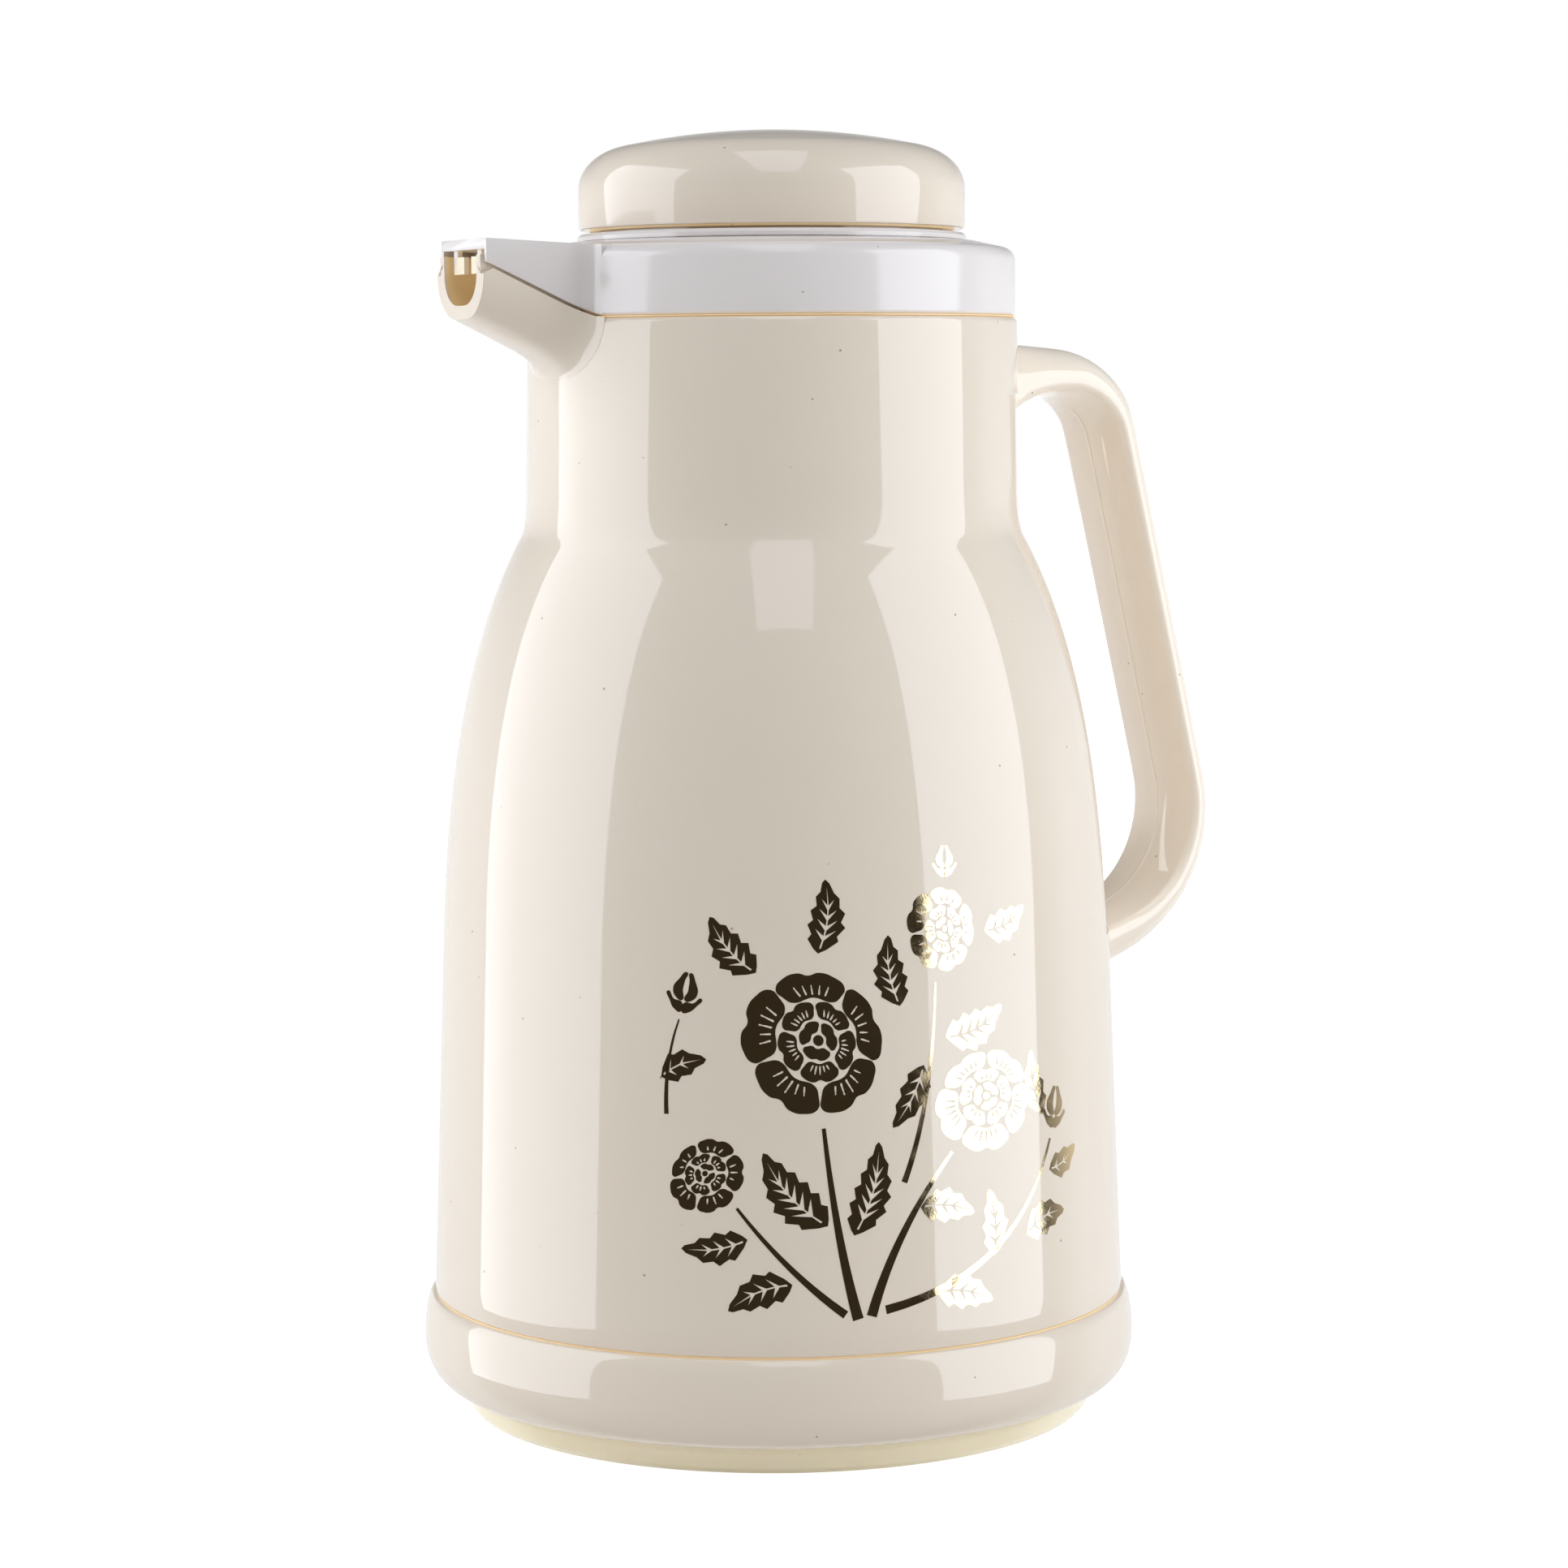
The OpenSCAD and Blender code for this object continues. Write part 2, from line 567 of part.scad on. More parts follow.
module collar() {
    half = cover_half(cover_hw, cover_fillet);
    last = half[len(half) - 1];
    rear_s = collar_r - 4;
    front = lip_s + past;
    color(white) union() {
        difference() {
            union() {
                collar_ring();
                intersection() {
                    translate([0, 0, collar_z]) linear_extrude(collar_h) difference() {
                        polygon(concat(half, [[last[0], 0]],
                            reverse([for (p = half) [p[0], -p[1]]])));
                        circle(r = collar_r - collar_wall + 0.1);
                    }
                    under_cover_top(0);
                }
            }
            // Space inside the cover, through the ring's wall.
            intersection() {
                translate([0, 0, collar_z - past]) linear_extrude(collar_h) polygon([
                    [-front, inside_hw(front)], [-rear_s, inside_hw(rear_s)],
                    [-rear_s, -inside_hw(rear_s)], [-front, -inside_hw(front)]]);
                under_cover_top(cover_thick);
            }
            // The skirts' lower edges rise towards the lip.
            translate([-skirt_s, -40, collar_z])
                rotate([0, skirt_rise, 0]) translate([-60, 0, -40]) cube([60, 80, 40]);
        }
        cover_tab(-1);
        cover_tab(1);
    }
}

// ---- Neck ring: the liner's seat, the stopper's thread and the way out to the trough ----------

ring_wall = 1.9;        // wall round the pouring chamber
seat_flange = 5.2;      // width of the seat under the chamber
chamber_rise = 5;       // how far the chamber's wall starts above the seat
lower_flange_r = neck_r - casing_wall - 1.6;
chamber_r = thread_r - 1.2;
chamber_top_z = neck_top_z - 5;

// Space of the duct from the chamber's port to the trough, up to top and grown by gap.
module duct_space(top, gap) {
    intersection() {
        channel(neck_r + channel_run, chamber_r - duct_start - past, gap);
        translate([0, 0, top - neck_r]) linear_extrude(neck_r) difference() {
            circle(r = duct_r);
            translate([-chamber_r + duct_start, -neck_r]) square(2 * neck_r);
        }
    }
}
duct_wall = 1.5;
duct_roof = 1.2;
duct_r = neck_r - casing_wall - 0.4;

module neck_ring() {
    seat_edge_r = seat_r + seat_flange;
    chamber_z = seat_z + chamber_rise;
    color(white) difference() {
        union() {
            difference() {
                duct_space(ledge_z - touch, duct_wall);
                cylinder(r = chamber_r + ring_wall / 2, h = cap_z);
            }
            revolve([
                [seat_r, seat_z - seat_thick], [seat_edge_r, seat_z - seat_thick],
                [chamber_r + ring_wall, chamber_z - 0.8],
                [chamber_r + ring_wall, ledge_z - 5], [lower_flange_r, ledge_z - 3],
                [lower_flange_r, ledge_z - touch], [rim_r - 0.4, ledge_z - touch],
                [rim_r - 0.4, collar_top_z + 0.3], [rim_r, collar_top_z + 0.3],
                [rim_r, rim_top_z - 0.6], [rim_r - 0.6, rim_top_z],
                [thread_r + 0.8, rim_top_z], [thread_r, rim_top_z - 0.8],
                [thread_r, chamber_top_z + 1.2], [chamber_r, chamber_top_z],
                [chamber_r, chamber_z], [seat_r + 3.6, seat_z], [seat_r, seat_z]]);
        }
        duct_space(ledge_z - duct_roof, 0);
    }
}

gasket_ease = 0.3;      // clearance of the gasket's skirt on the liner's neck
gasket_wall = 1.9;
gasket_skirt = 5;

module neck_gasket() {
    top = seat_z - seat_thick - touch;
    in_r = liner_neck_r + gasket_ease;
    out_r = in_r + gasket_wall;
    color(silicone) revolve([
        [seat_r, top], [out_r, top], [out_r, top - gasket_thick - gasket_skirt],
        [in_r, top - gasket_thick - gasket_skirt], [in_r, top - gasket_thick],
        [seat_r, top - gasket_thick]]);
}

// ---- Glass liner -------------------------------------------------------------------------------

lip_top_z = seat_z - seat_thick - gasket_thick - 2 * touch;
lip_z = lip_top_z - 3;
inner_r = liner_r - glass - vacuum_gap;

// Outline of a bottle, from the axis at the bottom up to its neck.
function bottle(r, neck, bottom, dome_z, shoulder_z0, neck_z, top) = concat(
    ellipse_arc([0, dome_z], r, dome_z - bottom, -90, 0, 12),
    ellipse_arc([neck, shoulder_z0], r - neck, neck_z - shoulder_z0, 0, 90, 12),
    [[neck, top]]);
outer_neck_in = liner_neck_r - glass;

module liner_outer_bottle() {
    outside = bottle(liner_r, liner_neck_r, liner_bottom_z, liner_dome_z,
        liner_shoulder_z, liner_neck_z, lip_z);
    inside = bottle(liner_r - glass, outer_neck_in, liner_bottom_z + glass, liner_dome_z,
        liner_shoulder_z, liner_neck_z - glass, lip_z);
    color(glass_tint) union() {
        revolve(concat(outside, reverse(inside)));
        // Sealed tip, where the air was drawn out.
        revolve([
            [0, liner_bottom_z - tip_len], [tip_r * 0.4, liner_bottom_z - tip_len + 0.4],
            [tip_r * 0.8, liner_bottom_z - tip_len / 2], [tip_r, liner_bottom_z + glass / 2],
            [0, liner_bottom_z + glass / 2]]);
    }
}

inner_bottom_z = liner_bottom_z + glass + vacuum_gap;
inner_neck_out = mouth_r + glass;

module liner_inner_bottle() {
    outside = bottle(inner_r, inner_neck_out, inner_bottom_z, liner_dome_z,
        liner_shoulder_z - 2, liner_neck_z - glass - vacuum_gap, lip_z + touch);
    inside = bottle(inner_r - glass, mouth_r, inner_bottom_z + glass, liner_dome_z,
        liner_shoulder_z - 2, liner_neck_z - 2 * glass - vacuum_gap, lip_z + touch);
    round_w = (liner_neck_r - mouth_r) / 2;
    color(glass_tint) revolve(concat(
        outside, [[liner_neck_r, lip_z + touch]],
        ellipse_arc([mouth_r + round_w, lip_z + touch], round_w, lip_top_z - lip_z - touch,
            10, 170, 8),
        reverse(inside)));
}

// Three pads that keep the bottles apart.
module liner_spacers() {
    pad_r = 5;
    pad_at = 26;
    ease = 0.1;
    color("#8d8578") for (a = [0:120:240]) rotate([0, 0, a]) intersection() {
        translate([pad_at, 0, liner_bottom_z]) cylinder(r = pad_r, h = 30);
        revolve(concat(
            [for (r = [0:6:36]) [r, liner_dome_z - (liner_dome_z - liner_bottom_z - glass)
                * sqrt(1 - pow(r / (liner_r - glass), 2)) + ease]],
            [for (r = [36:-6:0]) [r, liner_dome_z - (liner_dome_z - inner_bottom_z)
                * sqrt(1 - pow(r / inner_r, 2)) - ease]]));
    }
}

module liner_cushion() {
    hole_r = 12;
    steps = 5;
    color("#d8d3c8") revolve(concat(
        [[hole_r, cap_floor_z + touch], [cushion_r, cap_floor_z + touch]],
        [for (i = [0:steps]) let (r = lerp(cushion_r, hole_r, i / steps))
            [r, liner_dome_z - (liner_dome_z - liner_bottom_z)
                * sqrt(1 - pow(r / liner_r, 2)) - 0.1]]));
}

// ---- Base --------------------------------------------------------------------------------------

base_lip_r = foot_r + 2.1;
spigot_r = body_r - casing_wall - fit - 0.3;
cap_floor_z = base_hollow + 2.2;

module base_ring() {
    color(cream) revolve(concat(
        ellipse_arc([body_r + 0.2, base_belly_z], base_r - body_r - 0.2,
            base_seam_z - base_belly_z, 90, 0, 8),
        ellipse_arc([base_lip_r, base_belly_z], base_r - base_lip_r,
            base_belly_z - foot_h, 0, -90, 10),
        [[foot_r + 0.5, foot_h], [foot_r + 0.5, foot_h + 3.2],
            [base_thread_r, foot_h + 3.2], [base_thread_r, base_seam_z - 1.7],
            [base_thread_r + 2, base_seam_z - 1.7], [base_thread_r + 2, foot_h + 5.6],
            [base_lip_r + 1, foot_h + 5.6], [base_r - 2.6, base_belly_z + 1],
            [base_r - 2.9, base_seam_z - 4.7], [spigot_r - 1.8, base_seam_z - 2.2],
            [spigot_r - 1.8, base_seam_z + 9], [spigot_r, base_seam_z + 9],
            [spigot_r, base_seam_z + seam_gap - touch],
            [body_r - seam_depth, base_seam_z + seam_gap - touch],
            [body_r - seam_depth, base_seam_z]]));
}

module base_cap() {
    wall_r = base_thread_r - fit;
    rim_in = foot_r - 1.9 - foot_rim;
    bar_w = 7;
    bar_len = 2 * rim_in - 30;
    color("#efe7d0") difference() {
        union() {
            revolve([
                [foot_r, foot_h + 3], [foot_r - 0.2, foot_h - 1.8], [foot_r - 1, 1],
                [foot_r - 1.9, 0], [rim_in, 0], [rim_in - 1, 1], [rim_in - 1.2, base_hollow],
                [0, base_hollow], [0, cap_floor_z], [rim_in - 1.2, cap_floor_z],
                [wall_r - 2.4, cap_floor_z + 2], [wall_r - 2.4, base_seam_z - 3.5],
                [wall_r, base_seam_z - 3.5], [wall_r, foot_h + 3]]);
            // Grip bar across the hollow, for unscrewing the cap.
            translate([-bar_len / 2, -bar_w / 2, 0.6])
                cube([bar_len, bar_w, cap_floor_z - 1.2]);
        }
    }
}

// ---- Stopper -----------------------------------------------------------------------------------

skirt_r = thread_r - thread_clear;
body_top_z = cap_z + 6;
flange_z = cap_z + 0.2;
plug_wall = 2;
seal_gap = 0.2;         // the soft seal stands this far off the seat
snug = 0.05;            // clearance of a press-on piece
seal_thick = 2.4;
plug_z = seat_z + seal_thick + fit;
hub_r = 20;             // radius of the hub that the seal is pressed on to
tongue = 1.4;           // width of the slot above the seal
tongue_z = seat_z + 0.6;

module stopper_cap() {
    corner_x = 11.5;
    side_h = 8;
    corner_h = cap_h - side_h - crown_h + 0.5;
    function cap_outline(inset) = concat(
        [[cap_r - inset, cap_z]],
        ellipse_arc([cap_r - corner_x, cap_z + side_h], corner_x - inset, corner_h - inset,
            0, 78, 9),
        [for (i = [1:8]) let (
            start = [cap_r - corner_x + (corner_x - inset) * cos(78),
                cap_z + side_h + (corner_h - inset) * sin(78)],
            r = start[0] * (1 - i / 8), top = cap_z + cap_h - inset)
            [r, top - (top - start[1]) * pow(r / start[0], 2)]]);
    color(cream) revolve(concat(cap_outline(0), reverse(cap_outline(cap_wall))));
}

module stopper_body() {
    top_r = cap_r - cap_wall - snug;
    groove_z = chamber_top_z + 4;
    groove_r = thread_r - 0.05 - o_ring;
    in_r = skirt_r - 3.2;
    color(cream) revolve([
        [0, plug_z], [hub_r, plug_z], [hub_r, tongue_z], [hub_r + tongue, tongue_z],
        [hub_r + tongue, plug_z], [seat_r, plug_z], [plug_r, plug_z + 8],
        [plug_r, chamber_top_z - 0.5], [skirt_r, chamber_top_z + 1.8],
        [skirt_r, groove_z], [groove_r, groove_z], [groove_r, groove_z + o_ring + 0.3],
        [skirt_r, groove_z + o_ring + 0.3], [skirt_r, flange_z], [top_r, flange_z],
        [top_r, body_top_z], [top_r - 2, body_top_z], [top_r - 2, flange_z + 2],
        [in_r, flange_z + 2], [in_r, chamber_top_z + 3.6], [plug_r - plug_wall, chamber_top_z],
        [plug_r - plug_wall, plug_z + 8.5], [seat_r - 1.6, plug_z + plug_wall],
        [0, plug_z + plug_wall]]);
}

module stopper_foam() {
    gap = 0.15;
    in_r = skirt_r - 3.2;
    color(foam) revolve([
        [0, plug_z + plug_wall + gap], [seat_r - 1.8, plug_z + plug_wall + gap],
        [plug_r - plug_wall - gap, plug_z + 8.5 + gap],
        [plug_r - plug_wall - gap, chamber_top_z + gap], [in_r - gap, chamber_top_z + 3.8],
        [in_r - gap, flange_z + 1.6], [0, flange_z + 1.6]]);
}

module stopper_base() {
    round_r = 2;
    color(cream) revolve(concat(
        [[0, plug_bottom_z]],
        arc([plug_tip_r - round_r, plug_bottom_z + round_r], round_r, -90, 0, 4),
        [[plug_tip_r, seat_z - 1], [hub_r - fit, seat_z - 1], [hub_r - fit, plug_z - touch],
            [0, plug_z - touch]]));
}

module stopper_seal() {
    low_z = seat_z - 1 + touch;
    top_z = seat_z + seal_thick;
    slot_r = hub_r + tongue + 0.1;
    lip_r = seat_r + 3;
    color(silicone) revolve([
        [hub_r, low_z], [plug_tip_r - fit, low_z], [seat_r - 1.3, seat_z + seal_gap],
        [lip_r - 0.4, seat_z + seal_gap], [lip_r, seat_z + 0.7], [lip_r - seal_thick, top_z],
        [slot_r, top_z], [slot_r, tongue_z - 0.1], [hub_r, tongue_z - 0.1]]);
}

module stopper_o_ring() {
    groove_z = chamber_top_z + 4;
    color(silicone) translate([0, 0, groove_z + o_ring / 2 + 0.15])
        rotate_extrude() translate([thread_r - 0.05 - o_ring / 2 + 0.02, 0])
        circle(d = o_ring - 0.04, $fn = 32);
}

outer_casing();
handle();
spout_trough();
collar();
neck_ring();
neck_gasket();
liner_inner_bottle();
liner_outer_bottle();
liner_spacers();
liner_cushion();
base_ring();
base_cap();
stopper_cap();
stopper_body();
stopper_foam();
stopper_base();
stopper_seal();
stopper_o_ring();
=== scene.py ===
"""Insulated pouring jug in glossy ivory polypropylene, with a white collar and a foil print."""

import json
import logging
import math
from collections.abc import Callable, Sequence
from dataclasses import dataclass, field
from enum import Enum

import bpy
from bpy.types import Material, Node, NodeSocket, NodeTree, Object
from mathutils import Matrix, Vector

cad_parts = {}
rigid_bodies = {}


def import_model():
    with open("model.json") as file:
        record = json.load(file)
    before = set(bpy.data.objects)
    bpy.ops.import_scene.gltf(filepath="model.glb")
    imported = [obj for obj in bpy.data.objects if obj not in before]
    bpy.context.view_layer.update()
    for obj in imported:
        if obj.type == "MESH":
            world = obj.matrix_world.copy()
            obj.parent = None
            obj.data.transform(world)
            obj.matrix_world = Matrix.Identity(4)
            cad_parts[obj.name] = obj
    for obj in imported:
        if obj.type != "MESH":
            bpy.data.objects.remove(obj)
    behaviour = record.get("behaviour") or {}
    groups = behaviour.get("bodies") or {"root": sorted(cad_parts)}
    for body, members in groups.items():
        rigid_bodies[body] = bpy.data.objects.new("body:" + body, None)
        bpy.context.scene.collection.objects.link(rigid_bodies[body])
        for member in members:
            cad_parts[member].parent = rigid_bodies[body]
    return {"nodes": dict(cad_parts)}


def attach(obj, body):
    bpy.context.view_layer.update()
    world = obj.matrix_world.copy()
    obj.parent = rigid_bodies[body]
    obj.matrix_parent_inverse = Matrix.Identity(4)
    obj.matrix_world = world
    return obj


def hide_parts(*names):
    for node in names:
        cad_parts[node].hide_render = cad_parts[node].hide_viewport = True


# Sizes are in millimetres and angles in degrees, unless a name or a comment says otherwise.
MM = 0.001
Point = tuple[float, float]

log = logging.getLogger("jug")
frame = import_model()


# ---- Bench: the few moves that every piece is made with ---------------------------------------

class Part(Enum):
    """What edit mode selects."""

    POINTS = "VERT"
    EDGES = "EDGE"
    FACES = "FACE"


def deselect() -> None:
    """Leaves object mode with nothing selected."""
    if bpy.context.object and bpy.context.object.mode != "OBJECT":
        bpy.ops.object.mode_set(mode="OBJECT")
    bpy.ops.object.select_all(action="DESELECT")


def pick(obj: Object) -> None:
    """Makes a piece the only selected and the active object.

    Args:
        obj: The piece.
    """
    deselect()
    obj.select_set(True)
    bpy.context.view_layer.objects.active = obj


def settle(obj: Object) -> None:
    """Moves a piece's place, turn and scale into its mesh."""
    pick(obj)
    bpy.ops.object.transform_apply(location=True, rotation=True, scale=True)


def apply_modifier(obj: Object, kind: str, **settings: object) -> None:
    """Adds a modifier to a piece and applies it.

    Args:
        obj: The piece.
        kind: The modifier's type.
        settings: Its properties.
    """
    pick(obj)
    modifier = obj.modifiers.new(kind.title(), kind)
    for key, value in settings.items():
        setattr(modifier, key, value)
    bpy.ops.object.modifier_apply(modifier=modifier.name)


def select_where(obj: Object, part: Part, test: Callable[..., bool]) -> None:
    """Enters edit mode with only what passes the test selected.

    Args:
        obj: The piece.
        part: Whether points, edges or faces are tested.
        test: Takes a point's place, the places of an edge's ends, or a face's centre and
            normal, and says whether it is wanted.
    """
    pick(obj)
    bpy.ops.object.mode_set(mode="EDIT")
    bpy.ops.mesh.select_mode(type=part.value)
    bpy.ops.mesh.select_all(action="DESELECT")
    bpy.ops.object.mode_set(mode="OBJECT")
    points = obj.data.vertices
    if part is Part.POINTS:
        for point in points:
            point.select = test(point.co / MM)
    elif part is Part.EDGES:
        for edge in obj.data.edges:
            edge.select = test(*(points[i].co / MM for i in edge.vertices))
    else:
        for face in obj.data.polygons:
            face.select = test(face.center / MM, face.normal)
    bpy.ops.object.mode_set(mode="EDIT")


def close_up(obj: Object, gap: float = 0.002) -> None:
    """Merges doubled points and turns every face outwards.

    Args:
        obj: The piece.
        gap: Points closer than this become one.
    """
    pick(obj)
    bpy.ops.object.mode_set(mode="EDIT")
    bpy.ops.mesh.select_all(action="SELECT")
    bpy.ops.mesh.remove_doubles(threshold=gap * MM)
    bpy.ops.mesh.normals_make_consistent(inside=False)
    bpy.ops.object.mode_set(mode="OBJECT")


def smooth(obj: Object, angle: float = 30.0) -> None:
    """Shades a piece smooth, but for its sharp edges.

    Args:
        obj: The piece.
        angle: Edges sharper than this stay sharp.
    """
    pick(obj)
    bpy.ops.object.shade_smooth_by_angle(angle=math.radians(angle))
    deselect()


def join(pieces: list[Object], name: str) -> Object:
    """Joins pieces into one.

    Args:
        pieces: What is joined.
        name: The whole's name.

    Returns:
        The whole.
    """
    deselect()
    for piece in pieces:
        piece.select_set(True)
    bpy.context.view_layer.objects.active = pieces[0]
    bpy.ops.object.join()
    whole = bpy.context.active_object
    whole.name = name
    return whole


def turned(name: str, outline: Sequence[Point], segments: int = 192) -> Object:
    """Raises a turned shape from a circle, ring by ring, until it closes on itself.

    Args:
        name: The piece's name.
        outline: Radius and height of each ring.
        segments: Points round the axis.

    Returns:
        The piece, with its points merged.
    """
    deselect()
    radius, height = outline[0]
    bpy.ops.mesh.primitive_circle_add(vertices=segments, radius=radius * MM,
                                      location=(0, 0, height * MM))
    obj = bpy.context.active_object
    obj.name = name
    settle(obj)
    bpy.ops.object.mode_set(mode="EDIT")
    bpy.ops.mesh.select_all(action="SELECT")
    # A ring on the axis keeps this radius, as one of no size couldn't be scaled up again.
    axis_r = 1e-5
    for next_radius, next_height in [*outline[1:], outline[0]]:
        rise = (next_height - height) * MM
        bpy.ops.mesh.extrude_edges_move(TRANSFORM_OT_translate={"value": (0, 0, rise)})
        share = max(next_radius, axis_r) / max(radius, axis_r)
        bpy.ops.transform.resize(value=(share, share, 1), center_override=(0, 0, next_height * MM))
        radius, height = next_radius, next_height
    bpy.ops.object.mode_set(mode="OBJECT")
    close_up(obj)
    return obj


def twin(node: str, name: str) -> Object:
    """Takes a merged copy of a solid as the start of a finer piece that replaces it.

    Args:
        node: The solid's name.
        name: The piece's name.

    Returns:
        The piece, without a material.
    """
    deselect()
    source = frame["nodes"][node]
    obj = source.copy()
    obj.data = source.data.copy()
    bpy.context.scene.collection.objects.link(obj)
    obj.name = name
    obj.parent = None
    obj.matrix_world = Matrix.Identity(4)
    obj.data.materials.clear()
    pick(obj)
    bpy.ops.mesh.customdata_custom_splitnormals_clear()
    close_up(obj)
    return obj


def round_off(obj: Object, crease: float) -> None:
    """Subdivides a loft into a smooth moulding that keeps its sharp edges.

    Args:
        obj: The piece.
        crease: Edges sharper than this stay.
    """
    pick(obj)
    bpy.ops.object.mode_set(mode="EDIT")
    bpy.ops.mesh.select_all(action="SELECT")
    bpy.ops.mesh.tris_convert_to_quads(face_threshold=math.radians(30),
                                       shape_threshold=math.radians(60))
    bpy.ops.mesh.select_mode(type="EDGE")
    bpy.ops.mesh.select_all(action="DESELECT")
    bpy.ops.mesh.edges_select_sharp(sharpness=math.radians(crease))
    bpy.ops.transform.edge_crease(value=1)
    bpy.ops.object.mode_set(mode="OBJECT")
    apply_modifier(obj, "SUBSURF", levels=2, render_levels=2)


# ---- Finishes ---------------------------------------------------------------------------------

# A Mix node's sockets by place: the two inputs and the output, for numbers and for colours.
LOW, HIGH, BLEND = 2, 3, 0
TINT_LOW, TINT_HIGH, TINT = 6, 7, 2


def linear(code: str) -> tuple[float, float, float, float]:
    """Turns an sRGB colour into the linear one that a shader takes.

    Args:
        code: The colour as a hash and six hex digits.

    Returns:
        Red, green, blue and a full alpha.
    """
    parts = [int(code[i:i + 2], 16) / 255 for i in (1, 3, 5)]
    red, green, blue = [c / 12.92 if c <= 0.04045 else ((c + 0.055) / 1.055) ** 2.4 for c in parts]
    return red, green, blue, 1.0


def per(size: float) -> float:
    """The scale at which a texture on coordinates in metres has cells size millimetres wide."""
    return 1 / (size * MM)


def add_node(tree: NodeTree, kind: str, inputs: dict[str | int, object] | None = None,
             **settings: object) -> Node:
    """Adds a node with its settings and links.

    Args:
        tree: The node tree.
        kind: The node's type.
        inputs: Values and sockets for its inputs, by name or place.
        settings: Its own properties.

    Returns:
        The node.
    """
    made = tree.nodes.new(kind)
    for key, value in settings.items():
        setattr(made, key, value)
    for key, value in (inputs or {}).items():
        if isinstance(value, NodeSocket):
            tree.links.new(value, made.inputs[key])
        else:
            made.inputs[key].default_value = value
    return made


def new_material(name: str) -> tuple[Material, NodeTree, Node, NodeSocket]:
    """Starts a material.

    Args:
        name: The material's name.

    Returns:
        The material, its tree, its Principled shader and its Object coordinates in metres.
    """
    material = bpy.data.materials.new(name)
    material.use_nodes = True
    tree = material.node_tree
    tree.nodes.clear()
    shader = add_node(tree, "ShaderNodeBsdfPrincipled")
    add_node(tree, "ShaderNodeOutputMaterial", {"Surface": shader.outputs[0]})
    place = add_node(tree, "ShaderNodeTexCoord").outputs["Object"]
    return material, tree, shader, place


@dataclass(frozen=True)
class MouldedPlastic:
    """Injection-moulded polypropylene: glossy, faintly clouded and rippled, with rare specks.

    glow is how much light soaks into a thin wall and warms its shaded side. The field after it
    sets a painted glow: emission in the resin's own colour, standing in for light carried from
    elsewhere.
    """

    name: str
    colour: str
    shade: str
    roughness: float = 0.04
    glow: float = 0.0
    # A painted glow: the surface emits its own colour, though it is no lamp.
    painted_glow: float = 0.0
    ior: float = 1.55
    cloud: float = 45.0
    ripple: float = 12.0
    speck: str = "#8d7c64"
    speck_gap: float = 8.0
    speck_r: float = 0.32

    def build(self) -> Material:
        """Makes the material.

        Returns:
            The material.
        """
        material, tree, shader, place = new_material(self.name)
        # Cloudy, as pigment flows into a mould: two near tones, broad and faint.
        cloud = add_node(tree, "ShaderNodeTexNoise", {
            "Vector": place, "Scale": per(self.cloud), "Detail": 3.0}).outputs["Fac"]
        tint = add_node(tree, "ShaderNodeMix", {
            "Factor": cloud, TINT_LOW: linear(self.shade), TINT_HIGH: linear(self.colour)},
            data_type="RGBA").outputs[TINT]
        # Stray specks of burnt resin, one every few centimetres.
        cells = add_node(tree, "ShaderNodeTexVoronoi", {
            "Vector": place, "Scale": per(self.speck_gap)})
        reach = self.speck_r / self.speck_gap
        spot = add_node(tree, "ShaderNodeMapRange", {
            "Value": cells.outputs["Distance"], "From Min": reach, "From Max": 0.6 * reach,
            "To Min": 0.0, "To Max": 0.7}).outputs[0]
        skin = add_node(tree, "ShaderNodeMix", {
            "Factor": spot, TINT_LOW: tint, TINT_HIGH: linear(self.speck)},
            data_type="RGBA").outputs[TINT]
        tree.links.new(skin, shader.inputs["Base Color"])
        # A polished tool leaves long low ripples that bend a reflection a little.
        ripple = add_node(tree, "ShaderNodeTexNoise", {
            "Vector": place, "Scale": per(self.ripple), "Detail": 1.0}).outputs["Fac"]
        bump = add_node(tree, "ShaderNodeBump", {
            "Height": ripple, "Strength": 0.012, "Distance": 0.001})
        tree.links.new(bump.outputs["Normal"], shader.inputs["Normal"])
        # Gloss is a little duller where the pigment lies denser.
        wear = add_node(tree, "ShaderNodeMapRange", {
            "Value": cloud, "To Min": self.roughness * 0.8, "To Max": self.roughness * 1.3})
        tree.links.new(wear.outputs[0], shader.inputs["Roughness"])
        shader.inputs["IOR"].default_value = self.ior
        # The painted glow: emission in the resin's own colour, in place of light carried through
        # it.
        if self.painted_glow:
            shader.inputs["Emission Color"].default_value = linear(self.colour)
            shader.inputs["Emission Strength"].default_value = self.painted_glow
        if self.glow:
            shader.inputs["Subsurface Weight"].default_value = self.glow
            shader.inputs["Subsurface Radius"].default_value = (1.0, 0.62, 0.28)
            shader.inputs["Subsurface Scale"].default_value = 0.004
        return material


